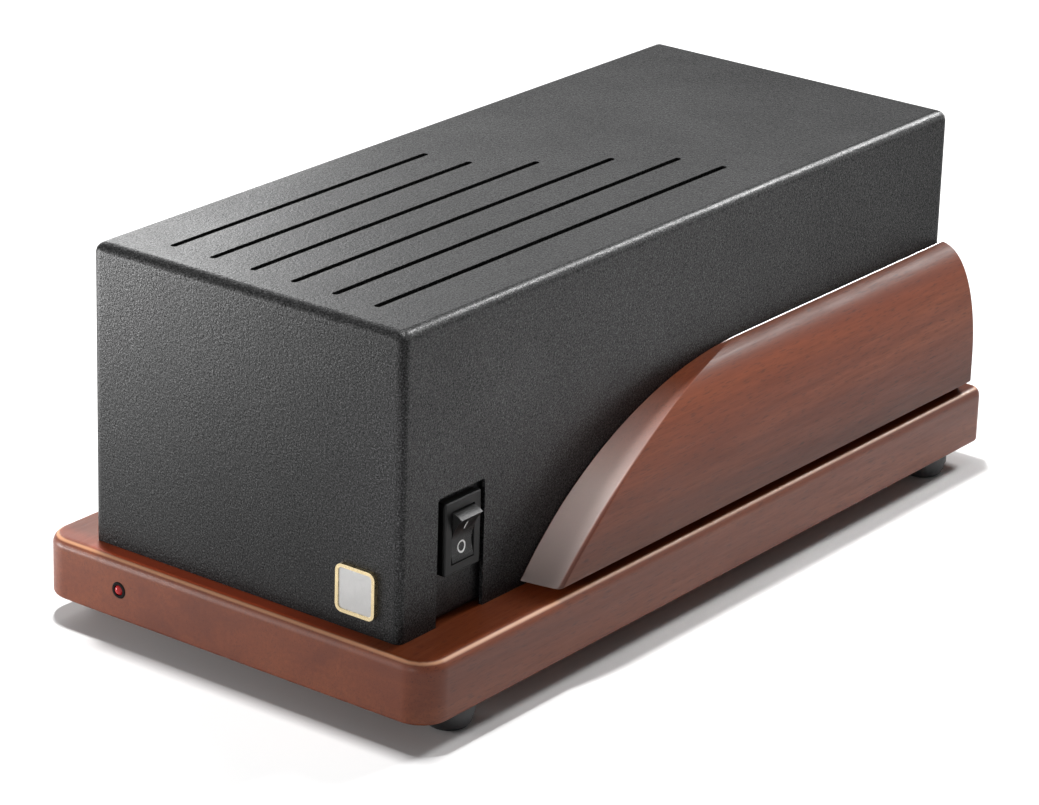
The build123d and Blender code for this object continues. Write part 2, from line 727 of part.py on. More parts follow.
export_step(inlet_housing.part, "parts/inlet_housing.step")

blade_places = [(inlet_x - blade_pitch, socket_z - blade_drop), (inlet_x, socket_z + blade_drop),
                (inlet_x + blade_pitch, socket_z - blade_drop)]
with BuildPart() as inlet_blades:
    with BuildSketch(inlet_face.offset(-socket_depth)):
        with Locations(*blade_places):
            Rectangle(blade_thickness, blade_height)
    extrude(amount=blade_length)
    with BuildSketch(panel_outward.offset(-inlet_body_depth)):
        with Locations(*blade_places):
            Rectangle(blade_thickness, blade_height)
    extrude(amount=-blade_tail)
inlet_blades.part.label = "inlet_blades"
export_step(inlet_blades.part, "parts/inlet_blades.step")

# drawer: a tray open at the top, with a finger lip outside the flange
fuse_pocket = fuse_radius + drawer_gap
with BuildPart() as fuse_drawer:
    with BuildSketch(inlet_face):
        with Locations((inlet_x, drawer_z)):
            Rectangle(drawer_width, drawer_height)
    extrude(amount=-drawer_depth)
    with BuildSketch(inlet_face):
        with Locations((inlet_x, drawer_z)):
            Rectangle(drawer_width, drawer_height)
    extrude(amount=drawer_lip)
    fillet(fuse_drawer.edges().group_by(Axis.Y)[-1], drawer_lip / 2)
    with BuildSketch(Plane(origin=(inlet_offset, panel_face + inlet_flange - drawer_depth / 2,
                                   board_top + drawer_z), z_dir=(0, 0, 1))):
        Rectangle(fuse_length + 2 * drawer_gap, 2 * fuse_pocket)
    extrude(amount=drawer_height, mode=Mode.SUBTRACT)
    with BuildSketch(Plane(origin=(inlet_offset, panel_face + inlet_flange - drawer_depth / 2,
                                   board_top + drawer_z), z_dir=(1, 0, 0))):
        Circle(fuse_pocket)
    extrude(amount=fuse_length / 2 + drawer_gap, both=True, mode=Mode.SUBTRACT)
fuse_drawer.part.label = "fuse_drawer"
export_step(fuse_drawer.part, "parts/fuse_drawer.step")

fuse_axis = Plane(origin=(inlet_offset, panel_face + inlet_flange - drawer_depth / 2,
                          board_top + drawer_z - drawer_gap), z_dir=(1, 0, 0))
with BuildPart() as fuse_link:
    with BuildSketch(fuse_axis):
        Circle(fuse_radius - fuse_cap_wall)
    extrude(amount=fuse_length / 2 - fuse_cap / 2, both=True)
    with BuildSketch(fuse_axis.offset(fuse_length / 2 - fuse_cap), fuse_axis.offset(-fuse_length / 2)):
        Circle(fuse_radius)
    extrude(amount=fuse_cap)
fuse_link.part.label = "fuse_link"
export_step(fuse_link.part, "parts/fuse_link.step")

# ---------------------------------------------------------------- phono sockets
with BuildPart() as jack_shells:
    with BuildSketch(panel_outward):
        with Locations(*jack_places):
            Circle(jack_shell_radius)
            Circle(jack_shell_radius - jack_shell_wall, mode=Mode.SUBTRACT)
    extrude(amount=jack_shell_length)
    with BuildSketch(panel_outward.offset(jack_nut_thickness)):
        with Locations(*jack_places):
            Circle(jack_thread_radius)
            Circle(jack_shell_radius - jack_shell_wall, mode=Mode.SUBTRACT)
    extrude(amount=-(panel_sheet + 2 * jack_nut_thickness))
    with BuildSketch(panel_back):
        with Locations(*[(-x, z) for x, z in jack_places]):
            Circle(jack_nut_flats / 2)
            Circle(jack_shell_radius - jack_shell_wall, mode=Mode.SUBTRACT)
    extrude(amount=jack_nut_thickness)
jack_shells.part.label = "jack_shells"
export_step(jack_shells.part, "parts/jack_shells.step")

with BuildPart() as jack_nuts:
    with BuildSketch(panel_outward):
        with Locations(*jack_places):
            RegularPolygon(jack_nut_flats / 2, 6, major_radius=False)
            Circle(jack_thread_radius + panel_hole_gap, mode=Mode.SUBTRACT)
    extrude(amount=jack_nut_thickness)
jack_nuts.part.label = "jack_nuts"
export_step(jack_nuts.part, "parts/jack_nuts.step")

with BuildPart() as jack_insulators:
    with BuildSketch(panel_outward.offset(jack_shell_length - jack_shell_wall)):
        with Locations(*jack_places):
            Circle(jack_shell_radius - jack_shell_wall)
            Circle(jack_contact_radius, mode=Mode.SUBTRACT)
    extrude(amount=-(jack_shell_length - jack_shell_wall + panel_sheet + jack_nut_thickness))
jack_insulators.part.label = "jack_insulators"
export_step(jack_insulators.part, "parts/jack_insulators.step")

with BuildPart() as jack_contacts:
    with BuildSketch(panel_outward.offset(jack_shell_length - jack_shell_wall)):
        with Locations(*jack_places):
            Circle(jack_contact_radius)
    extrude(amount=-(jack_shell_length + panel_sheet + jack_tail_length))
    with BuildSketch(panel_outward.offset(jack_shell_length - jack_shell_wall)):
        with Locations(*jack_places):
            Circle(jack_bore_radius)
    extrude(amount=-jack_bore_depth, mode=Mode.SUBTRACT)
jack_contacts.part.label = "jack_contacts"
export_step(jack_contacts.part, "parts/jack_contacts.step")

# ---------------------------------------------------------------- ground post
with BuildPart() as ground_post:
    with BuildSketch(panel_back):
        with Locations((-jack_x, post_z)):
            Circle(post_head_radius)
    extrude(amount=post_head_thickness)
    with BuildSketch(panel_back):
        with Locations((-jack_x, post_z)):
            Circle(post_radius)
    extrude(amount=-(panel_sheet + post_length))
ground_post.part.label = "ground_post"
export_step(ground_post.part, "parts/ground_post.step")

with BuildPart() as ground_washer:
    with BuildSketch(panel_outward):
        with Locations((jack_x, post_z)):
            Circle(post_washer_radius)
            Circle(post_radius + post_fit, mode=Mode.SUBTRACT)
    extrude(amount=post_washer_thickness)
ground_washer.part.label = "ground_washer"
export_step(ground_washer.part, "parts/ground_washer.step")

with BuildPart() as ground_nut:
    with BuildSketch(panel_outward.offset(post_washer_thickness)):
        with Locations((jack_x, post_z)):
            Circle(post_nut_radius)
            Circle(post_radius + post_fit, mode=Mode.SUBTRACT)
            with PolarLocations(post_nut_radius, post_nut_flutes):
                Rectangle(2 * post_nut_flute, 2 * post_nut_flute, rotation=45, mode=Mode.SUBTRACT)
    extrude(amount=post_nut_thickness)
ground_nut.part.label = "ground_nut"
export_step(ground_nut.part, "parts/ground_nut.step")

# ---------------------------------------------------------------- circuit board
with BuildPart() as circuit_board:
    with BuildSketch(Plane.XY.offset(pcb_bottom)):
        with Locations((0, pcb_middle)):
            RectangleRounded(pcb_width, pcb_length, standoff_radius)
        with Locations(*standoff_places):
            Circle(pcb_screw_radius + screw_gap, mode=Mode.SUBTRACT)
    extrude(amount=pcb_thickness)
circuit_board.part.label = "circuit_board"
export_step(circuit_board.part, "parts/circuit_board.step")

with BuildPart() as standoffs:
    with BuildSketch(Plane.XY.offset(floor_top)):
        with Locations(*standoff_places):
            RegularPolygon(standoff_radius, 6)
            Circle(pcb_screw_radius + screw_gap, mode=Mode.SUBTRACT)
    extrude(amount=standoff_height)
standoffs.part.label = "standoffs"
export_step(standoffs.part, "parts/standoffs.step")

pcb_screw = pan_screw(pcb_screw_radius, pcb_thickness + standoff_height / 2)
with BuildPart() as pcb_screws:
    with Locations(*[Location((x, y, pcb_top)) for x, y in standoff_places]):
        add(pcb_screw)
pcb_screws.part.label = "pcb_screws"
export_step(pcb_screws.part, "parts/pcb_screws.step")

# ---------------------------------------------------------------- valves
valve_y = pcb_front + valve_front_inset
valve_places = [((i - (valve_count - 1) / 2) * valve_pitch, valve_y) for i in range(valve_count)]
valve_seat = pcb_top + socket_height

with BuildPart() as valve_sockets:
    with BuildSketch(Plane.XY.offset(pcb_top)):
        with Locations(*valve_places):
            Circle(socket_radius)
    extrude(amount=socket_height)
valve_sockets.part.label = "valve_sockets"
export_step(valve_sockets.part, "parts/valve_sockets.step")

# glass envelope with a domed top and a sealed tip, hollow above its thick base
valve_inner = valve_radius - valve_glass
valve_shoulder = valve_height - valve_tip_height - valve_radius / 2
with BuildPart() as envelope:
    with BuildSketch(Plane.XZ):
        with BuildLine():
            Polyline((0, valve_base_height), (0, 0), (valve_radius, 0), (valve_radius, valve_shoulder),
                     (valve_radius * 0.72, valve_shoulder + valve_radius * 0.36),
                     (valve_radius * 0.3, valve_shoulder + valve_radius * 0.5),
                     (0, valve_shoulder + valve_radius * 0.5),
                     (0, valve_shoulder + valve_radius * 0.5 - valve_glass),
                     (valve_inner * 0.3, valve_shoulder + valve_radius * 0.5 - valve_glass),
                     (valve_inner * 0.72, valve_shoulder + valve_radius * 0.36 - valve_glass),
                     (valve_inner, valve_shoulder), (valve_inner, valve_base_height),
                     (0, valve_base_height))
        make_face()
    revolve(axis=Axis.Z)
    with Locations((0, 0, valve_shoulder + valve_radius / 2 - valve_glass / 2)):
        Cone(valve_tip_radius, valve_tip_radius / 3, valve_tip_height + valve_glass / 2,
             align=(Align.CENTER, Align.CENTER, Align.MIN))
with BuildPart() as valve_glasses:
    with Locations(*[(x, y, valve_seat) for x, y in valve_places]):
        add(envelope.part)
valve_glasses.part.label = "valve_glasses"
export_step(valve_glasses.part, "parts/valve_glasses.step")

with BuildPart() as valve_plates:
    with BuildSketch(Plane.XY.offset(valve_seat + valve_base_height)):
        with Locations(*valve_places):
            Ellipse(valve_plate_radius, valve_plate_radius * 0.7)
    extrude(amount=valve_plate_height)
valve_plates.part.label = "valve_plates"
export_step(valve_plates.part, "parts/valve_plates.step")

# ---------------------------------------------------------------- capacitors and power parts
with BuildPart() as filter_capacitors:
    with BuildSketch(Plane.XY.offset(pcb_top)):
        with Locations((0, pcb_front + filter_front_inset)):
            with GridLocations(filter_pitch, 0, filter_count, 1):
                Circle(filter_radius)
    extrude(amount=filter_height)
    chamfer(filter_capacitors.edges().group_by(Axis.Z)[-1], filter_radius / 8)
filter_capacitors.part.label = "filter_capacitors"
export_step(filter_capacitors.part, "parts/filter_capacitors.step")

with BuildPart() as coupling_capacitors:
    with BuildSketch(Plane.XY.offset(pcb_top)):
        with Locations((0, pcb_front + coupling_front_inset)):
            with GridLocations(pcb_width / coupling_count, 0, coupling_count, 1):
                RectangleRounded(coupling_width, coupling_length, coupling_width / 8)
    extrude(amount=coupling_height)
coupling_capacitors.part.label = "coupling_capacitors"
export_step(coupling_capacitors.part, "parts/coupling_capacitors.step")

regulator_y = pcb_front + regulator_front_inset
heatsink_x = pcb_width / 4
with BuildPart() as heatsink:
    with BuildSketch(Plane.XY.offset(pcb_top)):
        with Locations((heatsink_x, regulator_y)):
            Rectangle(heatsink_width, heatsink_web, align=(Align.CENTER, Align.MIN))
            fin_step = (heatsink_width - heatsink_fin) / (heatsink_fin_count - 1)
            with GridLocations(fin_step, 0, heatsink_fin_count, 1):
                Rectangle(heatsink_fin, heatsink_depth, align=(Align.CENTER, Align.MIN))
    extrude(amount=heatsink_height)
heatsink.part.label = "heatsink"
export_step(heatsink.part, "parts/heatsink.step")

with BuildPart() as regulator:
    with BuildSketch(Plane.XY.offset(pcb_top)):
        with Locations((heatsink_x, regulator_y)):
            Rectangle(regulator_width, regulator_thickness, align=(Align.CENTER, Align.MAX))
    extrude(amount=regulator_height)
regulator.part.label = "regulator"
export_step(regulator.part, "parts/regulator.step")

with BuildPart() as rectifier:
    with BuildSketch(Plane.XY.offset(pcb_top)) as bridge:
        with Locations((-heatsink_x, regulator_y)):
            Rectangle(rectifier_width, rectifier_depth)
    extrude(amount=rectifier_height)
    chamfer(rectifier.edges().filter_by(Axis.Y).group_by(Axis.Z)[-1].sort_by(Axis.X)[0],
            rectifier_depth / 2)
rectifier.part.label = "rectifier"
export_step(rectifier.part, "parts/rectifier.step")

# ---------------------------------------------------------------- transformer
core_plane = Plane(origin=(-transformer_offset, transformer_y - core_stack / 2, floor_top),
                   x_dir=(1, 0, 0), z_dir=(0, -1, 0))
with BuildPart() as transformer_core:
    with BuildSketch(core_plane):
        with Locations((0, core_height / 2)):
            Rectangle(core_width, core_height)
            with GridLocations(core_leg + window_width, 0, 2, 1):
                Rectangle(window_width, window_height, mode=Mode.SUBTRACT)
    extrude(amount=-core_stack)
transformer_core.part.label = "transformer_core"
export_step(transformer_core.part, "parts/transformer_core.step")

winding_wall = window_width - 2 * winding_gap
with BuildPart() as transformer_winding:
    with BuildSketch(Plane.XY.offset(floor_top + (core_height - window_height) / 2 + winding_gap)):
        with Locations((-transformer_offset, transformer_y)):
            RectangleRounded(core_leg + 2 * (winding_wall + winding_gap),
                             core_stack + 2 * (winding_wall + winding_gap), winding_wall / 3)
            Rectangle(core_leg + 2 * winding_gap, core_stack + 2 * winding_gap, mode=Mode.SUBTRACT)
    extrude(amount=window_height - 2 * winding_gap)
transformer_winding.part.label = "transformer_winding"
export_step(transformer_winding.part, "parts/transformer_winding.step")

# strap over the core, with a screw tab at each side
with BuildPart() as transformer_strap:
    with BuildSketch(core_plane.offset(-core_stack / 2)):
        with Locations((0, core_height / 2 + strap_thickness / 2)):
            Rectangle(2 * strap_half, core_height + strap_thickness)
        with Locations((0, strap_thickness / 2)):
            Rectangle(2 * (strap_half + strap_tab), strap_thickness)
        with Locations((0, core_height / 2)):
            Rectangle(core_width, core_height, mode=Mode.SUBTRACT)
    extrude(amount=core_leg / 2, both=True)
    with BuildSketch(Plane.XY.offset(floor_top)):
        with Locations(*transformer_screw_places):
            Circle(transformer_screw_radius + screw_gap)
    extrude(amount=strap_thickness, mode=Mode.SUBTRACT)
transformer_strap.part.label = "transformer_strap"
export_step(transformer_strap.part, "parts/transformer_strap.step")

transformer_screw = pan_screw(transformer_screw_radius, chassis_sheet + strap_thickness)
with BuildPart() as transformer_screws:
    with Locations(*[Location((x, y, floor_top + strap_thickness)) for x, y in transformer_screw_places]):
        add(transformer_screw)
transformer_screws.part.label = "transformer_screws"
export_step(transformer_screws.part, "parts/transformer_screws.step")
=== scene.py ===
"""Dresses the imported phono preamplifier.

The pieces are the powder-coated case, the wooden base with its cheeks, the switch, the lamp, the badge,
the rear's fittings and what shows inside.
"""

import logging
import math
from dataclasses import dataclass, field
from enum import Enum

import bpy
import numpy as np
from mathutils import Matrix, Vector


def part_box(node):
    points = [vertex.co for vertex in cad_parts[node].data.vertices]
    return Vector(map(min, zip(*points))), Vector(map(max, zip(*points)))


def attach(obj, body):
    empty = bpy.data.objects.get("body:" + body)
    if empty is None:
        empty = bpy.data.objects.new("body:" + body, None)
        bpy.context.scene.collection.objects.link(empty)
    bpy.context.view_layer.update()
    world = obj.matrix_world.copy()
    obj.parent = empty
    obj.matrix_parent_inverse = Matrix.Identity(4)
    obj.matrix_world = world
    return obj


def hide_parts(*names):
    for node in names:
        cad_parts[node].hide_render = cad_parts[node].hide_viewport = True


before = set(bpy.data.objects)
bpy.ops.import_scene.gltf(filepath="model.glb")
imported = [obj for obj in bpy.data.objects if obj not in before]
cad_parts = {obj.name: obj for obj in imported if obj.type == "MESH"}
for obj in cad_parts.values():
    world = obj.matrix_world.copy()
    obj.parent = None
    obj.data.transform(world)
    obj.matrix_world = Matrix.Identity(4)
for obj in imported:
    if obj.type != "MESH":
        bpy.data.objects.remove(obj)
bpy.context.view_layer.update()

log = logging.getLogger("phono_preamp")
MM = 0.001
Array = np.ndarray
Colour = tuple[float, float, float]
Range = tuple[float, float]
Socket = bpy.types.NodeSocket
Value = Socket | float | tuple

SMOOTH_ANGLE = 32.0  # degrees; a steeper edge stays sharp
AREA_WEIGHT = 80  # percent; at 50 all faces count alike
NOISE_SPAN = (0.3, 0.7)  # where most of a noise's values lie
WELD_DIGITS = 6  # corners that agree to a micrometre are one corner


class Body(Enum):
    """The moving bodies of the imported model."""

    CASE = "case"
    ROCKER = "rocker"
    DRAWER = "drawer"
    WASHER = "washer"
    NUT = "thumb_nut"


class Side(Enum):
    """A side of the case, as a sign along X."""

    LEFT = -1
    RIGHT = 1


# ---------------------------------------------------------------- node trees
class Graph:
    """A material's node tree, with short calls that add and join nodes."""

    def __init__(self, name: str) -> None:
        """Starts an empty material.

        Args:
            name: the material's name.
        """
        self.material = bpy.data.materials.new(name)
        self.material.use_nodes = True
        self.tree = self.material.node_tree
        self.shader = self.tree.nodes["Principled BSDF"]
        self.output = self.tree.nodes["Material Output"]
        coordinates = self.add("ShaderNodeTexCoord").outputs
        self.place, self.normal = coordinates["Object"], coordinates["Normal"]

    def add(self, kind: str, inputs: dict | None = None, **settings) -> bpy.types.Node:
        """Adds a node.

        Args:
            kind: the node's type name.
            inputs: values or sockets for its inputs, by name or number.
            **settings: values for its other properties.

        Returns:
            The new node.
        """
        node = self.tree.nodes.new(kind)
        for key, value in settings.items():
            setattr(node, key, value)
        for key, value in (inputs or {}).items():
            self.feed(node.inputs[key], value)
        return node

    def feed(self, socket: Socket, value: Value) -> None:
        """Sets a socket to a value, or links another socket to it.

        Args:
            socket: the input socket.
            value: a number, a colour or an output socket.
        """
        if isinstance(value, Socket):
            self.tree.links.new(value, socket)
        elif isinstance(value, tuple) and len(value) == 3 and socket.type == "RGBA":
            socket.default_value = (*value, 1.0)
        else:
            socket.default_value = value

    def set(self, **inputs: Value) -> None:
        """Sets inputs of the main shader, with underscores in place of spaces."""
        for key, value in inputs.items():
            self.feed(self.shader.inputs[key.replace("_", " ")], value)

    def noise(self, scale: float, stretch: tuple = (1, 1, 1), detail: float = 3.0, rough: float = 0.5,
              turn: tuple = (0, 0, 0), shift: tuple = (0, 0, 0), warp: float = 0.0) -> Socket:
        """Adds noise that is stretched along the object's axes.

        Args:
            scale: cells per metre.
            stretch: further factor on each axis.
            detail: number of finer layers.
            rough: weight of the finer layers.
            turn: rotation of the pattern in radians.
            shift: shift of the pattern in metres.
            warp: distortion.

        Returns:
            The noise's value socket.
        """
        mapping = self.add("ShaderNodeMapping", {
            "Vector": self.place, "Scale": stretch, "Rotation": turn, "Location": shift})
        return self.add("ShaderNodeTexNoise", {
            "Vector": mapping.outputs[0], "Scale": scale, "Detail": detail, "Roughness": rough,
            "Distortion": warp}).outputs["Fac"]

    def ramp(self, value: Socket, stops: list[tuple[float, Colour]]) -> Socket:
        """Adds a colour ramp.

        Args:
            value: the socket that drives it.
            stops: positions with colours.

        Returns:
            The ramp's colour socket.
        """
        node = self.add("ShaderNodeValToRGB", {"Fac": value})
        ramp = node.color_ramp
        while len(ramp.elements) < len(stops):
            ramp.elements.new(0.5)
        for element, (position, colour) in zip(ramp.elements, stops):
            element.position = position
            element.color = (*colour, 1.0)
        return node.outputs["Color"]

    def span(self, value: Socket, low: float, high: float, start: float = 0.0, end: float = 1.0) -> Socket:
        """Maps a range of values onto another, clamped.

        Args:
            value: the socket to map.
            low: result at start.
            high: result at end.
            start: lowest value read.
            end: highest value read.

        Returns:
            The mapped value's socket.
        """
        return self.add("ShaderNodeMapRange", {
            "Value": value, "From Min": start, "From Max": end,
            "To Min": low, "To Max": high}).outputs["Result"]

    def mix(self, amount: Value, first: Value, second: Value) -> Socket:
        """Mixes two colours.

        Args:
            amount: share of the second.
            first: a colour or socket.
            second: a colour or socket.

        Returns:
            The mixed colour's socket.
        """
        node = self.add("ShaderNodeMix", data_type="RGBA")
        for index, value in ((0, amount), (6, first), (7, second)):
            self.feed(node.inputs[index], value)
        return node.outputs[2]

    def math(self, operation: str, first: Value, second: Value = 0.0) -> Socket:
        """Adds a sum, product or other operation of two values and returns its socket."""
        return self.add("ShaderNodeMath", {0: first, 1: second}, operation=operation).outputs[0]

    def product(self, first: Value, second: Value) -> Socket:
        """Adds the product of two values and returns its socket."""
        return self.math("MULTIPLY", first, second)

    def split(self, vector: Socket) -> tuple[Socket, Socket, Socket]:
        """Splits a vector and returns the sockets of its X, Y and Z."""
        return tuple(self.add("ShaderNodeSeparateXYZ", {0: vector}).outputs)

    def bump(self, height: Socket, distance: float, strength: float = 1.0,
             below: Socket | None = None) -> Socket:
        """Turns a height into a normal.

        Args:
            height: the height's socket, from 0 to 1.
            distance: height of 1, in metres.
            strength: share of the effect.
            below: a normal that this one adds to.

        Returns:
            The normal's socket.
        """
        node = self.add("ShaderNodeBump", {"Height": height, "Distance": distance, "Strength": strength})
        if below is not None:
            self.feed(node.inputs["Normal"], below)
        return node.outputs["Normal"]


# ---------------------------------------------------------------- finishes
@dataclass(frozen=True)
class PowderCoat:
    """Fine-grained powder coat on sheet metal, with pale specks."""

    name: str
    colour: Colour = (0.005, 0.005, 0.0053)
    speck: Colour = (0.055, 0.055, 0.057)
    speck_share: float = 0.75
    speck_span: Range = (0.56, 0.74)
    roughness: float = 0.35
    roughness_swing: Range = (-0.03, 0.04)
    pimples: float = 2300.0
    pimple_height: float = 0.09 * MM
    lumps: float = 966.0
    lump_height: float = 0.144 * MM
    patches: float = 38.0
    gloss: Range = (0.03, 0.44)
    # painted shade on the flats towards the rear and a painted highlight on the bends, both as reflection
    # strength
    painted_fade_rows: Range = (0.0, 1.0 * MM)
    painted_fade_loss: float = 0.0
    painted_bend_gain: float = 0.0
    flat_span: Range = (0.93, 0.99)
    bend_span: Range = (0.25, 0.45)

    def wear_and_painted_gloss(self, g: Graph) -> Socket:
        """Share of the gloss that is left: painted shade fades it on the flats towards the rear, and a
        painted highlight raises it on the long bends.

        Args:
            g: the material's node tree.

        Returns:
            The share's socket.
        """
        _, along, _ = g.split(g.place)
        normal_x, _, normal_z = g.split(g.normal)
        across = g.math("ABSOLUTE", normal_x)
        flat = g.span(g.math("MAXIMUM", across, normal_z), 0.0, 1.0, *self.flat_span)
        # painted shade: less reflection on the flats towards the rear; painted highlight: more reflection on
        # the bends
        painted_fade = g.product(flat, g.span(along, 0.0, self.painted_fade_loss, *self.painted_fade_rows))
        bend = g.span(g.product(across, normal_z), 0.0, self.painted_bend_gain, *self.bend_span)
        return g.math("ADD", g.math("SUBTRACT", 1.0, painted_fade), bend)

    def material(self) -> bpy.types.Material:
        """Makes the finish.

        Returns:
            The material.
        """
        g = Graph(self.name)
        fine = g.noise(self.pimples, detail=2.0, rough=0.6)
        coarse = g.noise(self.lumps, detail=2.0, rough=0.6, shift=(0.3, 0.1, 0.7))
        patchy = g.noise(self.patches, detail=3.0)
        smoother, rougher = (self.roughness + swing for swing in self.roughness_swing)
        specks = g.span(fine, 0.0, self.speck_share, *self.speck_span)
        pimpled = g.bump(fine, self.pimple_height, strength=0.9)
        g.set(Base_Color=g.mix(specks, self.colour, self.speck),
              Roughness=g.span(patchy, smoother, rougher, *NOISE_SPAN),
              Specular_IOR_Level=g.product(g.span(fine, *self.gloss, *NOISE_SPAN), self.wear_and_painted_gloss(g)),
              Normal=g.bump(coarse, self.lump_height, strength=0.6, below=pimpled))
        return g.material


@dataclass(frozen=True)
class StainedWood:
    """Reddish-brown stain on fine-pored wood under satin lacquer, with its grain along Y."""

    name: str
    dark: Colour = (0.125, 0.0225, 0.0065)
    middle: Colour = (0.205, 0.0430, 0.0120)
    light: Colour = (0.285, 0.0720, 0.0210)
    pore: Colour = (0.052, 0.0105, 0.0045)
    roughness: float = 0.44
    roughness_swing: Range = (-0.04, 0.06)
    coat: float = 0.0
    coat_roughness: float = 0.12
    shine: float = 0.42
    top_shine: float = 1.0
    lean: float = 0.03
    # painted grey sheen on the faces that look forward and up, and painted shade on the ridge
    painted_sheen: float = 0.0
    sheen_grey: Colour = (0.30, 0.245, 0.23)
    ridge_share: float = 0.8
    # painted highlight: a pale band along the upper arris
    painted_arris_highlight: float = 0.0
    arris_highlight_colour: Colour = (0.95, 0.50, 0.28)
    # painted light on the top's strip in front of the case
    strip_light: float = 0.0
    strip_light_colour: Colour = (0.95, 0.156, 0.060)
    strip_rows: Range = (-132.0 * MM, -128.0 * MM)
    strip_left: Range = (-53.0 * MM, -44.0 * MM)
    strip_right: Range = (10.0 * MM, 50.0 * MM)
    strip_corner: float = 0.15
    # painted shade: the colour darkens towards the bottom between these heights
    shade_heights: Range = (0.0, 1.0 * MM)
    shade_lowest: float = 1.0
    band_count: float = 44.0
    fibre_count: float = 760.0
    fibre_share: float = 0.60
    pore_count: float = 2600.0
    pore_share: float = 0.55
    cloud_count: float = 11.0
    cloud_share: float = 0.25
    relief_height: float = 0.03 * MM
    sheen_facing: Range = (0.22, 0.55)
    sheen_square: Range = (0.12, 0.40)
    sheen_above: Range = (0.0, 0.25)
    ridge_across: Range = (0.22, 0.45)
    ridge_ahead: Range = (0.12, 0.35)
    arris_rise: Range = (0.68, 0.80)
    arris_fall: Range = (0.88, 0.95)
    strip_level: Range = (0.90, 0.98)
    shine_level: Range = (0.90, 0.99)

    def figure(self, g: Graph) -> tuple[Socket, Socket, Socket]:
        """Streaks, fibres, clouds and pores, all drawn out along Y.

        Args:
            g: the material's node tree.

        Returns:
            The sockets of the colour, the fibres and the pores' share.
        """
        turn = (0.0, 0.0, self.lean)
        bands = g.noise(self.band_count, (1.0, 0.08, 1.5), 4.0, 0.55, turn, warp=0.6)
        fibre = g.noise(self.fibre_count, (1.0, 0.06, 1.0), 3.0, 0.65, turn)
        pores = g.noise(self.pore_count, (1.0, 0.10, 1.0), 1.5, 0.5, turn)
        clouds = g.noise(self.cloud_count, (1.0, 0.5, 1.0), 3.0, 0.5)
        colour = g.ramp(bands, [(0.30, self.dark), (0.50, self.middle), (0.74, self.light)])
        colour = g.mix(g.span(fibre, 0.0, self.fibre_share, 0.35, 0.72), colour, self.dark)
        colour = g.mix(g.span(clouds, 0.0, self.cloud_share, 0.35, 0.7), colour, self.light)
        pored = g.span(pores, 0.0, self.pore_share, 0.56, 0.72)
        return g.mix(pored, colour, self.pore), fibre, pored

    def painted_front_sheen(self, g: Graph, colour: Socket) -> Socket:
        """Paints a grey sheen on the faces that look forward and up, and paints shade on the ridge beside
        them.

        Args:
            g: the material's node tree.
            colour: the wood's colour.

        Returns:
            The new colour's socket.
        """
        normal_x, normal_y, normal_z = g.split(g.normal)
        across, ahead = g.math("ABSOLUTE", normal_x), g.product(normal_y, -1.0)
        # painted sheen: grey mixed in where the normal looks forward and up
        facing = g.span(ahead, 0.0, self.painted_sheen, *self.sheen_facing)
        square = g.span(across, 1.0, 0.0, *self.sheen_square)
        above = g.span(normal_z, 0.0, 1.0, *self.sheen_above)
        colour = g.mix(g.product(g.product(facing, square), above), colour, self.sheen_grey)
        # painted shade: the ridge's rounding is darkened towards the pore colour
        ridge = g.product(g.span(across, 0.0, self.ridge_share, *self.ridge_across),
                          g.span(ahead, 0.0, 1.0, *self.ridge_ahead))
        return g.mix(ridge, colour, self.pore)

    def painted_lit_strip(self, g: Graph, colour: Socket, upright: Socket) -> Socket:
        """Paints light on the strip of the top that lies in front of the case, in the case's shadow.

        Args:
            g: the material's node tree.
            colour: the wood's colour.
            upright: the upward part of the normal.

        Returns:
            The new colour's socket.
        """
        across, along, _ = g.split(g.place)
        # painted light: the colour is lifted towards amber on the upward faces of this strip
        ahead = g.product(g.span(upright, 0.0, 1.0, *self.strip_level),
                          g.span(along, self.strip_light, 0.0, *self.strip_rows))
        between = g.product(g.span(across, self.strip_corner, 1.0, *self.strip_left),
                            g.span(across, 1.0, 0.0, *self.strip_right))
        return g.mix(g.product(ahead, between), colour, self.strip_light_colour)

    def material(self) -> bpy.types.Material:
        """Makes the finish.

        Returns:
            The material.
        """
        g = Graph(self.name)
        colour, fibre, pored = self.figure(g)
        _, _, upright = g.split(g.normal)
        if self.painted_sheen:
            colour = self.painted_front_sheen(g, colour)
        # painted highlight: pale colour along the upper arris, picked out by the normal
        if self.painted_arris_highlight:
            arris = g.product(g.span(upright, 0.0, self.painted_arris_highlight, *self.arris_rise),
                              g.span(upright, 1.0, 0.0, *self.arris_fall))
            colour = g.mix(arris, colour, self.arris_highlight_colour)
        if self.strip_light:
            colour = self.painted_lit_strip(g, colour, upright)
        # painted shade: the colour is scaled down towards the bottom
        if self.shade_lowest < 1.0:
            _, _, height = g.split(g.place)
            painted_shade = g.span(height, self.shade_lowest, 1.0, *self.shade_heights)
            colour = g.add("ShaderNodeVectorMath", {0: colour, 3: painted_shade}, operation="SCALE").outputs["Vector"]
        smoother, rougher = (self.roughness + swing for swing in self.roughness_swing)
        relief = g.math("SUBTRACT", g.product(fibre, 0.5), pored)
        g.set(Base_Color=colour, Roughness=g.span(fibre, smoother, rougher, *NOISE_SPAN),
              Specular_IOR_Level=g.span(upright, self.shine, self.shine * self.top_shine, *self.shine_level),
              Coat_Weight=self.coat, Coat_Roughness=self.coat_roughness,
              Normal=g.bump(relief, self.relief_height, strength=0.45))
        return g.material


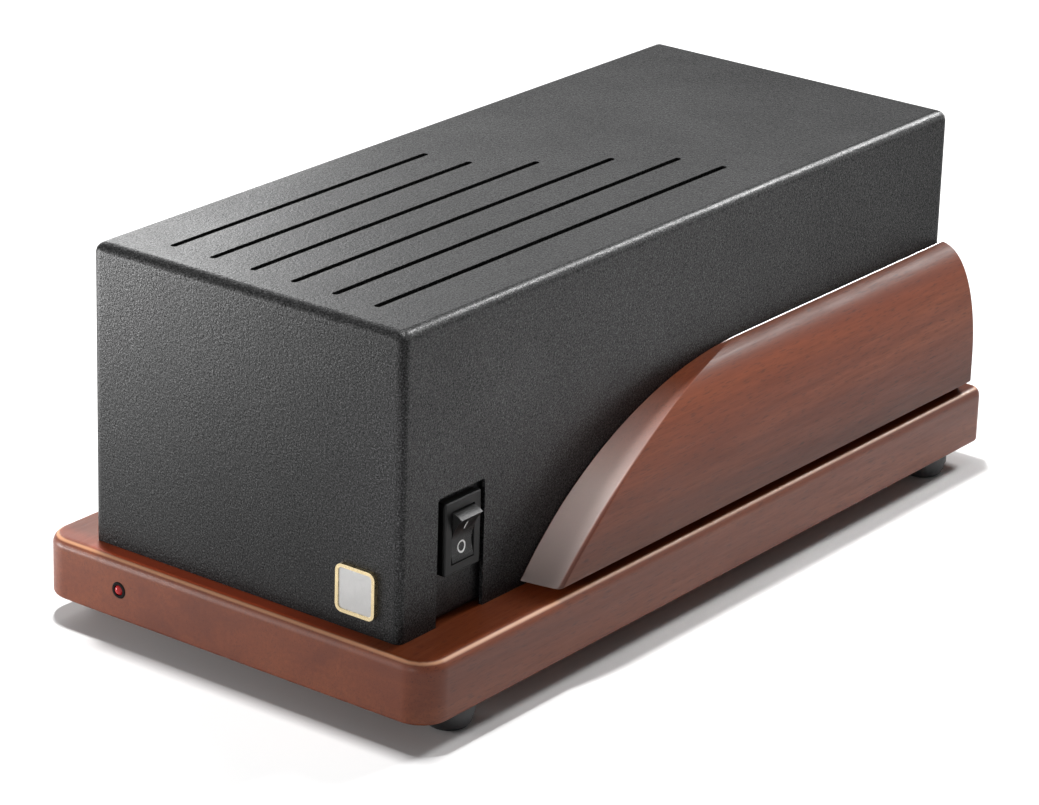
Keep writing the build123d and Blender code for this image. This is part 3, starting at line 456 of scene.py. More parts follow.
@dataclass(frozen=True)
class Moulded:
    """Moulded plastic or rubber with a faint skin texture."""

    name: str
    colour: Colour
    roughness: float = 0.4
    roughness_swing: Range = (-0.05, 0.06)
    skin: float = 900.0
    depth: float = 0.02 * MM
    wear: float = 60.0
    spread: float = 0.25
    shine: float = 0.5

    def material(self) -> bpy.types.Material:
        """Makes the finish.

        Returns:
            The material.
        """
        g = Graph(self.name)
        skin = g.noise(self.skin, detail=2.0)
        wear_and_painted_gloss = g.noise(self.wear, detail=4.0)
        deep = tuple(c * (1.0 - self.spread) for c in self.colour)
        smoother, rougher = (self.roughness + swing for swing in self.roughness_swing)
        g.set(Base_Color=g.mix(g.span(wear_and_painted_gloss, 0.0, 1.0, 0.35, 0.65), self.colour, deep),
              Roughness=g.span(wear_and_painted_gloss, smoother, rougher, *NOISE_SPAN),
              Specular_IOR_Level=self.shine, Normal=g.bump(skin, self.depth, strength=0.7))
        return g.material


@dataclass(frozen=True)
class Metal:
    """Bare or plated metal with fine drawn lines along one axis."""

    name: str
    colour: Colour
    roughness: float = 0.3
    roughness_swing: Range = (-0.07, 0.09)
    lines: tuple = (1.0, 0.06, 1.0)
    line_count: float = 1600.0
    line_height: float = 0.012 * MM
    stain_tone: float = 0.82

    def material(self) -> bpy.types.Material:
        """Makes the finish.

        Returns:
            The material.
        """
        g = Graph(self.name)
        drawn = g.noise(self.line_count, self.lines, 2.0)
        stain = g.noise(70.0, detail=4.0)
        deep = tuple(c * self.stain_tone for c in self.colour)
        smoother, rougher = (self.roughness + swing for swing in self.roughness_swing)
        g.set(Base_Color=g.mix(g.span(stain, 0.0, 0.8, 0.4, 0.7), self.colour, deep), Metallic=1.0,
              Roughness=g.span(drawn, smoother, rougher, *NOISE_SPAN),
              Normal=g.bump(drawn, self.line_height, strength=0.5))
        return g.material


@dataclass(frozen=True)
class ClearGlass:
    """Thin clear glass."""

    name: str
    tint: Colour = (0.93, 0.95, 0.95)
    roughness: Range = (0.03, 0.08)

    def material(self) -> bpy.types.Material:
        """Makes the finish.

        Returns:
            The material.
        """
        g = Graph(self.name)
        smear = g.noise(120.0, detail=3.0)
        g.set(Base_Color=self.tint, Roughness=g.span(smear, *self.roughness, 0.4, 0.7),
              Transmission_Weight=1.0, IOR=1.5)
        return g.material


@dataclass(frozen=True)
class LampRed:
    """Red diffused lamp lens."""

    name: str
    colour: Colour = (0.36, 0.006, 0.008)
    dark: Colour = (0.16, 0.002, 0.003)
    glow: Colour = (0.8, 0.01, 0.015)
    glow_strength: float = 0.14

    def material(self) -> bpy.types.Material:
        """Makes the finish.

        Returns:
            The material.
        """
        g = Graph(self.name)
        cloud = g.noise(900.0, detail=2.0)
        g.set(Base_Color=g.mix(g.span(cloud, 0.0, 0.4, *NOISE_SPAN), self.colour, self.dark), Roughness=0.07,
              Specular_IOR_Level=0.35, Emission_Color=self.glow, Emission_Strength=self.glow_strength)
        return g.material


@dataclass(frozen=True)
class Laminate:
    """Green circuit laminate with a faint weave and darker tracks."""

    name: str
    colour: Colour = (0.012, 0.085, 0.035)
    track: Colour = (0.022, 0.15, 0.06)
    weave_height: float = 0.01 * MM

    def material(self) -> bpy.types.Material:
        """Makes the finish.

        Returns:
            The material.
        """
        g = Graph(self.name)
        brick = g.add("ShaderNodeTexBrick", {
            "Vector": g.place, "Scale": 90.0, "Mortar Size": 0.035, "Color1": self.colour,
            "Color2": self.colour, "Mortar": self.track}, offset=0.5)
        weave = g.noise(2200.0, detail=1.0)
        g.set(Base_Color=brick.outputs["Color"], Roughness=0.32,
              Normal=g.bump(weave, self.weave_height, strength=0.5))
        return g.material


class Palette:
    """The finishes by name, each made into a material once."""

    FINISHES = {f.name: f for f in (
        # the cover's coat carries painted shade towards the rear and a painted highlight on its bends
        PowderCoat("cover_coat", painted_fade_rows=(-20.0 * MM, 130.0 * MM), painted_fade_loss=0.66, painted_bend_gain=1.0),
        PowderCoat("chassis_coat", colour=(0.012, 0.012, 0.0125), speck=(0.022, 0.022, 0.023)),
        # board_wood carries a painted highlight along its upper arris
        # board_wood carries painted light on the strip of its top in front of the case
        StainedWood("board_wood", dark=(0.100, 0.0180, 0.0052), middle=(0.168, 0.0352, 0.0098),
                    light=(0.235, 0.0590, 0.0172), roughness=0.42, shine=0.34, coat=0.06,
                    coat_roughness=0.08, painted_arris_highlight=0.55, top_shine=0.22, strip_light=0.7),
        # cheek_wood carries a painted grey sheen on its forward faces and painted shade on its ridge
        # cheek_wood carries painted shade towards its bottom
        StainedWood("cheek_wood", roughness=0.50, lean=0.05, shine=0.34, painted_sheen=0.9,
                    shade_heights=(26.0 * MM, 50.0 * MM), shade_lowest=0.35),
        StainedWood("edge_wood", light=(0.34, 0.11, 0.06), roughness=0.2, coat=1.0),
        Moulded("foot_rubber", (0.018, 0.018, 0.019), 0.55, depth=0.04 * MM),
        Moulded("switch_plastic", (0.005, 0.005, 0.005), 0.33, shine=0.16),
        Moulded("rocker_plastic", (0.005, 0.005, 0.005), 0.26, shine=0.20),
        Moulded("ring_black", (0.004, 0.004, 0.004), 0.3, shine=0.08),
        Moulded("inlet_plastic", (0.014, 0.014, 0.015), 0.42),
        Moulded("legend_white", (0.90, 0.90, 0.89), 0.5, spread=0.03),
        Moulded("insulator_white", (0.70, 0.70, 0.66), 0.4, spread=0.1),
        Moulded("ceramic_white", (0.72, 0.71, 0.67), 0.25, spread=0.08),
        Moulded("sleeve_blue", (0.015, 0.03, 0.11), 0.3),
        Moulded("film_red", (0.30, 0.035, 0.02), 0.35),
        Moulded("moulding_black", (0.02, 0.02, 0.02), 0.5),
        Moulded("plate_grey", (0.05, 0.05, 0.052), 0.55),
        Moulded("tape_yellow", (0.42, 0.28, 0.05), 0.4),
        Moulded("fuse_glass", (0.55, 0.56, 0.53), 0.15, spread=0.1),
        Metal("zinc_steel", (0.58, 0.57, 0.53), 0.32),
        Metal("black_steel", (0.05, 0.05, 0.052), 0.4),
        Metal("badge_brass", (0.70, 0.57, 0.34), 0.28),
        Metal("badge_silver", (0.42, 0.415, 0.41), 0.38),
        Metal("socket_gold", (0.83, 0.60, 0.24), 0.2),
        Metal("nickel", (0.66, 0.64, 0.60), 0.22),
        Metal("anodised_black", (0.035, 0.035, 0.037), 0.4),
        Metal("core_steel", (0.16, 0.155, 0.15), 0.5, lines=(1.0, 6.0, 0.05)),
        ClearGlass("valve_glass"),
        LampRed("lamp_red"),
        Laminate("board_green"),
    )}

    def __init__(self) -> None:
        """Starts with no material made."""
        self.made: dict[str, bpy.types.Material] = {}

    def get(self, name: str) -> bpy.types.Material:
        """Makes a finish's material when it is first asked for.

        Args:
            name: the finish's name.

        Returns:
            The material.
        """
        if name not in self.made:
            self.made[name] = self.FINISHES[name].material()
        return self.made[name]


PALETTE = Palette()


# ---------------------------------------------------------------- surfaces
def grid_faces(rows: int, columns: int, flip: bool = False) -> Array:
    """Quads of a grid whose columns close on themselves: each joins a point, its right and upper neighbours.

    Args:
        rows: points along the open direction.
        columns: points around.
        flip: turn the faces over.

    Returns:
        Vertex numbers, four to a face.
    """
    r, c = np.meshgrid(np.arange(rows - 1), np.arange(columns), indexing="ij")
    right = (c + 1) % columns
    here, above = r * columns, (r + 1) * columns
    quads = np.stack([here + c, here + right, above + right, above + c], -1).reshape(-1, 4)
    return quads[:, ::-1] if flip else quads


def mesh_object(name: str, points: Array, faces: list) -> bpy.types.Object:
    """Makes an object at the origin from points and faces.

    Args:
        name: the piece's name.
        points: coordinates in metres, in the row frame.
        faces: lists of vertex numbers.

    Returns:
        The new object.
    """
    mesh = bpy.data.meshes.new(name)
    mesh.from_pydata(points.reshape(-1, 3).tolist(), [], [list(map(int, f)) for f in faces])
    mesh.validate()
    piece = bpy.data.objects.new(name, mesh)
    bpy.context.scene.collection.objects.link(piece)
    return piece


def lofted(name: str, rings: Array, flip: bool = False) -> bpy.types.Object:
    """Joins closed rings of equal length into a skin with a face over each end.

    Args:
        name: the piece's name.
        rings: coordinates, ring by ring.
        flip: turn the faces over.

    Returns:
        The new object.
    """
    rows, columns = rings.shape[:2]
    first, last = np.arange(columns), np.arange(columns) + (rows - 1) * columns
    ends = [first if flip else first[::-1], last[::-1] if flip else last]
    return mesh_object(name, rings, list(grid_faces(rows, columns, flip)) + ends)


def points_of(mesh: bpy.types.Mesh) -> Array:
    """Reads a mesh's points.

    Args:
        mesh: the mesh.

    Returns:
        Coordinates, a point to a row.
    """
    points = np.empty(len(mesh.vertices) * 3)
    mesh.vertices.foreach_get("co", points)
    return points.reshape(-1, 3)


def recalculate(piece: bpy.types.Object) -> None:
    """Flips a closed piece's faces where they point inwards.

    Its volume, a sixth of the sum of (a x b) . c over the triangles with corners a, b and c, is
    negative then.

    Args:
        piece: the piece.
    """
    mesh = piece.data
    mesh.calc_loop_triangles()
    corners = np.empty(len(mesh.loop_triangles) * 3, np.int32)
    mesh.loop_triangles.foreach_get("vertices", corners)
    a, b, c = points_of(mesh)[corners.reshape(-1, 3)].transpose(1, 0, 2)
    if (np.cross(a, b) * c).sum() < 0:
        mesh.flip_normals()


def smooth(piece: bpy.types.Object, angle: float = SMOOTH_ANGLE) -> bpy.types.Object:
    """Shades a piece smooth up to an angle, with normals weighted by area so flats stay flat.

    Args:
        piece: the piece.
        angle: steepest smooth edge in degrees.

    Returns:
        The same piece.
    """
    piece.data.shade_smooth()
    piece.data.set_sharp_from_angle(angle=math.radians(angle))
    weighted = piece.modifiers.new("weighted", "WEIGHTED_NORMAL")
    weighted.keep_sharp = True
    weighted.weight = AREA_WEIGHT
    return piece


def merged_copy(node: str, name: str) -> bpy.types.Object:
    """Copies a CAD node's loose triangles with coincident corners joined.

    Args:
        node: the CAD node.
        name: the new piece's name.

    Returns:
        The new piece.
    """
    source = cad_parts[node].data
    points = points_of(source)
    corners = np.empty(len(source.loops), np.int64)
    source.loops.foreach_get("vertex_index", corners)
    _, keep, joined = np.unique(np.round(points, WELD_DIGITS), axis=0, return_index=True, return_inverse=True)
    triangles = joined.reshape(-1)[corners].reshape(-1, 3)
    whole = (triangles != np.roll(triangles, 1, axis=1)).all(axis=1)
    return mesh_object(name, points[keep], list(triangles[whole]))


def dress(piece: bpy.types.Object, body: Body, finish: str, slot: str, *nodes: str) -> None:
    """Gives a piece its finish, its body and the nodes that it stands for.

    Args:
        piece: the piece.
        body: the body it moves with.
        finish: the finish's name in the palette.
        slot: the record's material slot; not used.
        *nodes: CAD nodes that it replaces.
    """
    piece.data.materials.clear()
    piece.data.materials.append(PALETTE.get(finish))
    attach(piece, body.value)
    if nodes:
        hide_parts(*nodes)
    log.info("%s: %d faces, %s, on %s", piece.name, len(piece.data.polygons), finish, body.value)


def dress_copy(node: str, name: str, body: Body, finish: str, slot: str, angle: float = SMOOTH_ANGLE) -> None:
    """Dresses a node's smooth copy, which takes the node's place.

    Args:
        node: the CAD node.
        name: the new piece's name.
        body: the body it moves with.
        finish: the finish's name in the palette.
        slot: the record's material slot.
        angle: steepest smooth edge in degrees.
    """
    dress(smooth(merged_copy(node, name), angle), body, finish, slot, node)


def dress_node(node: str, finish: str) -> None:
    """Gives a CAD node its finish and leaves its shape alone.

    Args:
        node: the node's name.
        finish: the finish's name in the palette.
    """
    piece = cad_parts[node]
    piece.data.materials.clear()
    piece.data.materials.append(PALETTE.get(finish))
    log.info("%s: CAD node in %s", node, finish)


# ---------------------------------------------------------------- sub-assemblies
@dataclass
class SheetCase:
    """The folded cover, tray and rear panel, with smooth bends."""

    corner_round: float = 4.0 * MM
    corner_tight: float = 2.0 * MM
    tolerance: float = 0.0001 * MM

    def tighten(self, piece: bpy.types.Object, node: str) -> None:
        """Narrows the round of the upright corners from R to r by moving points out along rays.

        In each corner, with (c, s) the direction from the round's centre and o = R - r, the new
        distance is R / max(c, s) on the flats and o (c + s) + sqrt(o^2 (c + s)^2 - 2 o^2 + r^2)
        on the round; the factor to R scales every point in that direction.

        Args:
            piece: the cover's copy.
            node: the CAD node it was copied from.
        """
        low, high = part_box(node)
        middle = np.array([(low.x + high.x) / 2, (low.y + high.y) / 2])
        reach = np.array([(high.x - low.x) / 2, (high.y - low.y) / 2]) - self.corner_round
        points = points_of(piece.data)
        flat = points[:, :2] - middle
        part = np.abs(flat) - reach
        inside = (part > self.tolerance).all(axis=1)
        c, s = (part[inside] / np.linalg.norm(part[inside], axis=1)[:, None]).T
        offset = self.corner_round - self.corner_tight
        swing = offset * (c + s)
        arc = swing + np.sqrt(np.maximum(swing ** 2 - 2 * offset ** 2 + self.corner_tight ** 2, 0.0))
        side = self.corner_round / np.maximum(c, s)
        on_side = np.minimum(c, s) / np.maximum(c, s) < offset / self.corner_round
        factor = np.where(on_side, side, arc) / self.corner_round
        moved = np.sign(flat[inside]) * (reach + part[inside] * factor[:, None])
        points[inside, :2] = middle + moved
        piece.data.vertices.foreach_set("co", points.reshape(-1))
        piece.data.update()

    def build(self) -> None:
        """Makes and dresses the cover, tray, rear panel and screws."""
        cover = merged_copy("cover", "cover_shell")
        self.tighten(cover, "cover")
        dress(smooth(cover), Body.CASE, "cover_coat", "cover_powder", "cover")
        dress_copy("chassis", "chassis_tray", Body.CASE, "chassis_coat", "chassis_powder")
        dress_copy("rear_panel", "rear_plate", Body.CASE, "chassis_coat", "panel_powder")
        dress_copy("cover_screws", "cover_screw_set", Body.CASE, "black_steel", "black_screw")
        for node in ("chassis_screws", "panel_screws", "transformer_screws", "pcb_screws"):
            dress_node(node, "zinc_steel")


@dataclass
class Cheek:
    """A wooden cheek: a full-shouldered oval section behind a long arc, whose ridge softens downwards."""

    side: Side
    oval_height: float = 35.3 * MM
    oval_power: float = 2.25
    foot_rise: tuple = (0.0, 1.45 * MM, 2.9 * MM, 3.1 * MM, 3.35 * MM, 3.7 * MM)
    foot_inset: tuple = (5.1 * MM, 2.8 * MM, 0.45 * MM, 0.18 * MM, 0.04 * MM, 0.0)
    toe_recess: tuple = (8.4 * MM, 4.3 * MM, 0.30 * MM, 0.12 * MM, 0.03 * MM, 0.0)
    foot_tilt: float = 1.2 * MM
    arc_radius: float = 138.0 * MM
    ridge_round: Range = (0.35 * MM, 1.6 * MM)
    ridge_depth: Range = (7.0 * MM, 26.0 * MM)
    ridge_limit: float = 0.45
    rear_round: float = 0.8 * MM
    edge_round: float = 0.5 * MM
    round_limit: float = 0.3
    thinnest: float = 0.02 * MM
    lean_end: float = 20.0 * MM
    wall_steps: int = 4
    rise_steps: int = 60
    corner_steps: int = 8
    bead_across: tuple = (0.02 * MM, 0.05 * MM, 0.28 * MM, 0.72 * MM, 0.80 * MM)
    bead_up: tuple = (-0.9 * MM, 0.22 * MM, 0.25 * MM, -0.06 * MM, -0.9 * MM)
    bead_ramp: Range = (-9.0 * MM, 3.0 * MM)
    bead_straight: float = 6.0 * MM
    bead_sink: float = 0.75 * MM
    bead_steps: tuple[int, int] = (13, 24)
    block_angle: float = 40.0
    bead_angle: float = 50.0

    def __post_init__(self) -> None:
        """Reads the CAD cheek's box."""
        self.word = self.side.name.lower()
        self.low, self.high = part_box(f"cheek_{self.word}")
        self.inner = self.low.x if self.side is Side.RIGHT else -self.high.x

    def arc(self, depth: Array | float) -> Array | float:
        """How far the arc's face lies ahead of its highest point: sqrt(R^2 - (R - d)^2) at depth d.

        Args:
            depth: distance under the cheek's top.

        Returns:
            The distance along Y.
        """
        return np.sqrt(np.maximum(self.arc_radius ** 2 - (self.arc_radius - depth) ** 2, 0.0))

    def levels(self) -> tuple[Array, Array, Array]:
        """Heights with the section's width and the front face's place at each.

        The outer face is upright, then z = c + b sin t and x = a (1 - sin^n t)^(1/n) up to the top.
        The front face is y = front + arc(whole height) - arc(depth under the top). The foot tapers
        in below both faces.

        Returns:
            Width, front y and z, from the bottom up.
        """
        thick = self.high.x - self.low.x
        top, bottom = self.high.z, self.low.z
        foot_z = bottom + np.array(self.foot_rise)
        foot_w = thick - np.array(self.foot_inset)
        centre = top - self.oval_height
        sweep = np.linspace(0, math.pi / 2, self.rise_steps)
        wall_z = np.linspace(foot_z[-1], centre, self.wall_steps + 2)[1:-1]
        z = np.concatenate([foot_z, wall_z, centre + self.oval_height * np.sin(sweep)])
        shoulder = np.clip(1 - np.sin(sweep) ** self.oval_power, 0, 1) ** (1 / self.oval_power)
        width = np.concatenate([foot_w, np.full(self.wall_steps, thick), thick * shoulder])
        y = self.low.y + self.arc(top - bottom) - self.arc(top - z)
        y = y + np.interp(z - bottom, self.foot_rise, self.toe_recess)
        return np.maximum(width, self.thinnest), y, z

    def rings(self) -> Array:
        """Outline of each level seen from above.

        Each is a rectangle between the cover, the arc's face and the rear, with its outer front
        corner rounded by as much as the width allows: centre plus radius times (cos t, sin t).
        Near the foot the levels lean down towards the cover.

        Returns:
            Coordinates, ring by ring.
        """
        width, front, z = self.levels()
        turn = np.linspace(0, math.pi / 2, self.corner_steps)
        ridge = np.interp(z.max() - z, self.ridge_depth, self.ridge_round)
        ridge = np.minimum(ridge, self.ridge_limit * width)[:, None]
        rear = np.minimum(self.rear_round, self.round_limit * width)[:, None]
        edge = np.minimum(self.edge_round, self.round_limit * width)[:, None]
        w, f = width[:, None], front[:, None]
        x = np.concatenate([
            edge - edge * np.cos(turn), w - ridge + ridge * np.sin(turn),
            w - rear + rear * np.cos(turn), np.zeros_like(w)], 1)
        y = np.concatenate([
            f + edge - edge * np.sin(turn), f + ridge - ridge * np.cos(turn),
            self.high.y - rear + rear * np.sin(turn), np.full_like(w, self.high.y)], 1)
        lean = self.foot_tilt * np.clip(1.0 - x / w.max(), 0, 1)
        share = np.interp(z - z.min(), (0.0, self.foot_rise[2], self.lean_end), (0.0, 1.0, 0.0))[:, None]
        return np.stack([self.side.value * (self.inner + x), y, z[:, None] - lean * share], -1)

    def edge(self) -> Array:
        """Outline of the lacquered bead along the top's inner edge, from the arc to the rear.

        Each ring is the same five-sided section, which sinks into the cheek at its front end by
        1 - sqrt(1 - u^2), with u falling from 1 to 0 over the first stretch.

        Returns:
            Coordinates, ring by ring.
        """
        start = self.low.y + self.arc(self.high.z - self.low.z)
        ramp_start, ramp_end = (start + place for place in self.bead_ramp)
        y = np.concatenate([np.linspace(ramp_start, ramp_end, self.bead_steps[0]),
                            np.linspace(start + self.bead_straight, self.high.y, self.bead_steps[1])])
        u = np.clip((ramp_end - y) / (ramp_end - ramp_start), 0, 1)
        sink = self.bead_sink * (1 - np.sqrt(1 - u ** 2))
        z = self.high.z + np.array(self.bead_up)[None, :] - sink[:, None]
        x = self.side.value * (self.inner + np.broadcast_to(self.bead_across, z.shape))
        return np.stack([x, np.broadcast_to(y[:, None], z.shape), z], -1)

    def build(self) -> None:
        """Makes the cheek and its bead and dresses them."""
        block = lofted(f"cheek_block_{self.word}", self.rings(), flip=self.side is Side.LEFT)
        dress(smooth(block, self.block_angle), Body.CASE, "cheek_wood", "mahogany_cheek",
              f"cheek_{self.word}")
        bead = lofted(f"cheek_edge_{self.word}", self.edge())
        recalculate(bead)
        dress(smooth(bead, self.bead_angle), Body.CASE, "edge_wood", "mahogany_cheek")


@dataclass
class WoodenBase:
    """Base board with its cheeks, feet and screws."""

    def build(self) -> None:
        """Makes and dresses the board, cheeks and feet."""
        dress_copy("base_board", "base_plank", Body.CASE, "board_wood", "mahogany_board")
        for side in Side:
            Cheek(side).build()
        dress_copy("feet", "foot_set", Body.CASE, "foot_rubber", "rubber_feet")
        for node in ("foot_screws", "cheek_screws"):
            dress_node(node, "zinc_steel")


@dataclass
class RockerSwitch:
    """Housing, rocker and its two marks, a bar and a ring."""

    pivot: tuple[float, float, float] = (53.45 * MM, -105.5 * MM, 49.3 * MM)
    tilt: float = math.radians(12.0)
    peak_out: float = 3.2 * MM
    peak_up: float = 6.673 * MM
    hollow: float = 1.3 * MM
    bar_place: float = 3.3 * MM
    bar_half: float = 1.35 * MM
    bar_power: int = 8
    bar_end: float = 0.04
    bar_steps: int = 8
    ring_place: float = -3.4 * MM
    ring_middle: float = 1.5 * MM
    ring_steps: int = 41
    line: float = 0.25 * MM
    proud: float = 0.05 * MM
    bead_steps: int = 12
    mark_angle: float = 60.0
    tolerance: float = 1e-6 * MM

    def on_face(self, across: Array, up: Array, lift: Array) -> Array:
        """Points on the rocker's hollow face.

        The face is a circle's arc, out = m - sqrt(r^2 - up^2), tilted about the pivot.

        Args:
            across: distance along Y.
            up: distance up the tilted face.
            lift: height above the face.

        Returns:
            Coordinates in the row frame.
        """
        sag = self.peak_out - self.hollow
        radius = (self.peak_up ** 2 + sag ** 2) / (2 * sag)
        out = self.hollow + radius - np.sqrt(radius ** 2 - up ** 2) + lift
        c, s = math.cos(self.tilt), math.sin(self.tilt)
        return np.stack([self.pivot[0] + c * out + s * up, self.pivot[1] + across,
                         self.pivot[2] - s * out + c * up], -1)

    def mark(self, name: str, along: Array, up: Array, half_across: Array, half_up: Array) -> None:
        """Carries a low round bead along a closed or open line on the face.

        Args:
            name: the piece's name.
            along: the line's place along Y.
            up: the line's place up the face.
            half_across: the bead's half width along Y at each point.
            half_up: the bead's half width up the face at each point.
        """
        turn = np.linspace(0, 2 * math.pi, self.bead_steps, endpoint=False)
        a = along[:, None] + half_across[:, None] * np.cos(turn)
        b = up[:, None] + half_up[:, None] * np.cos(turn)
        rings = self.on_face(a, b, self.proud * np.sin(turn) + np.zeros_like(a))
        closed = np.allclose((along[0], up[0]), (along[-1], up[-1]), rtol=0.0, atol=self.tolerance)
        if closed:
            count = (len(rings) - 1) * len(turn)
            piece = mesh_object(name, rings[:-1], list(grid_faces(len(rings), len(turn)) % count))
        else:
            piece = lofted(name, rings)
        recalculate(piece)
        dress(smooth(piece, self.mark_angle), Body.ROCKER, "legend_white", "rocker_black")

    def build(self) -> None:
        """Makes and dresses the switch."""
        dress_copy("switch_housing", "switch_bezel", Body.CASE, "switch_plastic", "switch_black")
        dress_copy("switch_rocker", "rocker_key", Body.ROCKER, "rocker_plastic", "rocker_black")
        dress_node("switch_terminals", "nickel")
        share = np.linspace(-1, 1, self.bar_steps)
        ends = np.sqrt(np.clip(1 - share ** self.bar_power, self.bar_end, 1))
        middle = np.zeros(self.bar_steps)
        self.mark("mark_on", middle, self.bar_place + self.bar_half * share, self.line * ends, middle)
        turn = np.linspace(0, 2 * math.pi, self.ring_steps)
        c, s = np.cos(turn), np.sin(turn)
        self.mark("mark_off", self.ring_middle * s, self.ring_place + self.ring_middle * c,
                  self.line * s, self.line * c)


@dataclass
class Lamp:
    """Red lens in a black ring, in the board's front edge."""

    lens_angle: float = 50.0

    def build(self) -> None:
        """Dresses the lamp."""
        dress_copy("led_ring", "lamp_ring", Body.CASE, "ring_black", "led_ring_black")
        dress_copy("led_lens", "lamp_lens", Body.CASE, "lamp_red", "led_red", self.lens_angle)


@dataclass
class Badge:
    """Plain square plate in a rim on the cover's front."""

    def build(self) -> None:
        """Dresses the badge."""
        dress_copy("badge_rim", "badge_frame", Body.CASE, "badge_brass", "badge_brass")
        dress_copy("badge_plate", "badge_face", Body.CASE, "badge_silver", "badge_silver")


@dataclass
class RearFittings:
    """Mains inlet, fuse drawer, phono sockets and ground post."""

    pieces: tuple = (
        ("inlet_housing", "inlet_shell", Body.CASE, "inlet_plastic", "inlet_black"),
        ("inlet_blades", "inlet_pins", Body.CASE, "nickel", "nickel_blades"),
        ("fuse_drawer", "drawer_front", Body.DRAWER, "inlet_plastic", "drawer_black"),
        ("fuse_link", "fuse_tube", Body.DRAWER, "fuse_glass", "fuse_body"),
        ("jack_shells", "socket_shells", Body.CASE, "socket_gold", "jack_gold"),
        ("jack_nuts", "socket_nuts", Body.CASE, "socket_gold", "jack_gold"),
        ("jack_insulators", "socket_insulators", Body.CASE, "insulator_white", "jack_insulator"),
        ("jack_contacts", "socket_contacts", Body.CASE, "socket_gold", "jack_gold"),
        ("ground_post", "ground_stud", Body.CASE, "nickel", "nickel_post"),
        ("ground_washer", "ground_ring", Body.WASHER, "nickel", "nickel_post"),
        ("ground_nut", "ground_knob", Body.NUT, "nickel", "nickel_post"),
    )

    def build(self) -> None:
        """Makes smooth-shaded copies of the rear's pieces and dresses them."""
        for piece in self.pieces:
            dress_copy(*piece)


@dataclass
class Electronics:
    """Everything inside the cover, glimpsed through the vents."""

    pieces: tuple = (
        ("circuit_board", "board_green"), ("standoffs", "nickel"), ("valve_sockets", "ceramic_white"),
        ("valve_glasses", "valve_glass"), ("valve_plates", "plate_grey"),
        ("filter_capacitors", "sleeve_blue"), ("coupling_capacitors", "film_red"),
        ("heatsink", "anodised_black"), ("regulator", "moulding_black"), ("rectifier", "moulding_black"),
        ("transformer_core", "core_steel"), ("transformer_winding", "tape_yellow"),
        ("transformer_strap", "zinc_steel"),
    )

    def build(self) -> None:
        """Dresses the inner nodes."""
        for node, finish in self.pieces:
            dress_node(node, finish)


# ---------------------------------------------------------------- studio
def placed(place: tuple, right: Array | tuple, up: Array | tuple, back: Array | tuple) -> Matrix:
    """A lamp's or camera's place in the world.

    Args:
        place: where it stands.
        right: its own X axis.
        up: its own Y axis.
        back: its own Z axis, away from what it faces.

    Returns:
        The matrix with these axes as its columns.
    """
    return Matrix.Translation(place) @ Matrix(np.stack([right, up, back], 1).tolist()).to_4x4()


@dataclass(frozen=True)
class Softbox:
    """A rectangular area lamp that faces a point."""

    name: str
    place: tuple[float, float, float]
    size: tuple[float, float]
    power: float
    target: tuple[float, float, float] = (0.0, 0.0, 0.06)
    spread: float = math.pi

    def build(self) -> None:
        """Adds the lamp."""
        data = bpy.data.lights.new(self.name, "AREA")
        data.shape = "RECTANGLE"
        data.size, data.size_y = self.size
        data.energy = self.power
        data.spread = self.spread
        lamp = bpy.data.objects.new(self.name, data)
        bpy.context.scene.collection.objects.link(lamp)
        back = np.array(self.place) - np.array(self.target)
        back = back / np.linalg.norm(back)
        right = np.cross((0.0, 0.0, 1.0), back)
        right = right / np.linalg.norm(right)
        lamp.matrix_world = placed(self.place, right, np.cross(back, right), back)


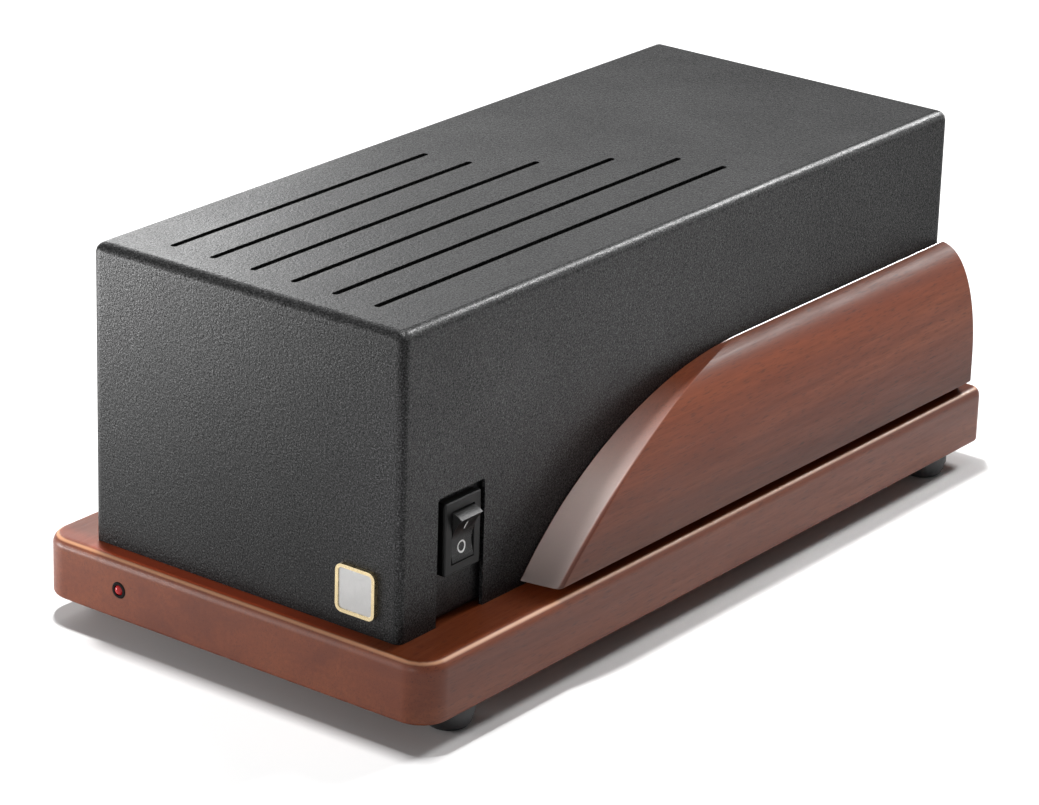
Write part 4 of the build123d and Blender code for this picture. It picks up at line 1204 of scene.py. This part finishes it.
@dataclass
class Studio:
    """Pale floor, soft lamps and the camera."""

    lens: float = 143.05
    sensor: float = 36.0
    clip: Range = (0.05, 50.0)
    eye: tuple[float, float, float] = (0.67095, -0.90249, 0.48002)
    right: tuple = (0.79267, 0.60901, 0.02798)
    up: tuple = (-0.24218, 0.27243, 0.93120)
    back: tuple = (0.55948, -0.74491, 0.36344)
    floor_half: float = 5.0
    floor_drop: float = 0.1 * MM
    floor_tones: tuple[Colour, Colour] = ((0.58, 0.58, 0.58), (0.56, 0.56, 0.56))
    floor_gain: Range = (0.90, 7.0)
    floor_ramp: Range = (0.55, 3.5)
    ambient: float = 0.10
    boxes: tuple = field(default_factory=lambda: (
        Softbox("key", (-0.184, 0.018, 1.60), (0.10, 0.10), 24.0),
        Softbox("window", (-0.42, 0.18, 0.30), (0.26, 0.26), 1.2),
        Softbox("rear", (0.20, 1.15, 0.90), (0.30, 0.30), 12.5),
        Softbox("front_left", (-0.30, -0.32, 0.036), (0.16, 0.06), 1.05, (0.0, -0.10, 0.05)),
        Softbox("edge", (-0.38, -0.52, 0.21), (0.06, 0.06), 0.3, (-0.03, -0.13, 0.03)),
        Softbox("kicker", (0.080, -0.40, 0.11), (0.03, 0.03), 0.015, (0.063, -0.056, 0.052),
                spread=math.radians(17.0)),
        Softbox("pool", (0.24, 0.06, 0.78), (0.03, 0.03), 0.07, (0.21, 0.07, -0.027),
                spread=math.radians(14.0)),
    ))

    def camera(self) -> None:
        """Places the camera by its axes."""
        data = bpy.data.cameras.new("camera")
        data.lens = self.lens
        data.sensor_width = self.sensor
        data.sensor_fit = "HORIZONTAL"
        data.clip_start, data.clip_end = self.clip
        camera = bpy.data.objects.new("camera", data)
        bpy.context.scene.collection.objects.link(camera)
        camera.matrix_world = placed(self.eye, self.right, self.up, self.back)
        bpy.context.scene.camera = camera

    def floor(self) -> None:
        """Adds a flat pale floor that shows white where it is lit, and keeps the shadow."""
        half, z = self.floor_half, -self.floor_drop
        corners = np.array([[-half, -half, z], [half, -half, z], [half, half, z], [-half, half, z]])
        floor = mesh_object("floor", corners, [[0, 1, 2, 3]])
        g = Graph("floor_white")
        grain = g.noise(6.0)
        g.set(Base_Color=g.mix(g.span(grain, 0.0, 0.3), *self.floor_tones), Roughness=0.8,
              Specular_IOR_Level=0.0)
        reach = g.add("ShaderNodeVectorMath", {0: g.place}, operation="LENGTH").outputs["Value"]
        seen = g.add("ShaderNodeBsdfDiffuse", {"Color": g.span(reach, *self.floor_gain, *self.floor_ramp)})
        path = g.add("ShaderNodeLightPath")
        looks = g.math("MAXIMUM", path.outputs["Is Camera Ray"],
                       g.math("MAXIMUM", path.outputs["Is Glossy Ray"], path.outputs["Is Transmission Ray"]))
        choice = g.add("ShaderNodeMixShader", {0: looks, 1: g.shader.outputs[0], 2: seen.outputs[0]})
        g.tree.links.new(choice.outputs[0], g.output.inputs["Surface"])
        floor.data.materials.append(g.material)

    def world(self) -> None:
        """Makes the surroundings white where they are seen, and grey where they only light."""
        world = bpy.data.worlds.new("studio_air")
        bpy.context.scene.world = world
        world.use_nodes = True
        tree = world.node_tree
        shine = tree.nodes["Background"]
        shine.inputs["Color"].default_value = (1.0, 1.0, 1.0, 1.0)
        path = tree.nodes.new("ShaderNodeLightPath")
        seen = path.outputs["Is Camera Ray"]
        for ray in ("Is Glossy Ray", "Is Transmission Ray"):
            either = tree.nodes.new("ShaderNodeMath")
            either.operation = "MAXIMUM"
            tree.links.new(seen, either.inputs[0])
            tree.links.new(path.outputs[ray], either.inputs[1])
            seen = either.outputs[0]
        level = tree.nodes.new("ShaderNodeMapRange")
        level.inputs["To Min"].default_value = self.ambient
        level.inputs["To Max"].default_value = 1.0
        tree.links.new(seen, level.inputs["Value"])
        tree.links.new(level.outputs["Result"], shine.inputs["Strength"])

    def build(self) -> None:
        """Adds floor, surroundings, lamps and camera."""
        self.floor()
        self.world()
        for box in self.boxes:
            box.build()
        self.camera()
        bpy.context.scene.view_settings.view_transform = "Standard"


def main() -> None:
    """Builds the studio and each sub-assembly."""
    logging.basicConfig(level=logging.INFO, format="%(name)s %(message)s")
    for assembly in (Studio, SheetCase, WoodenBase, RockerSwitch, Lamp, Badge, RearFittings, Electronics):
        log.info("building %s", assembly.__name__)
        assembly().build()


if __name__ == "__main__":
    main()
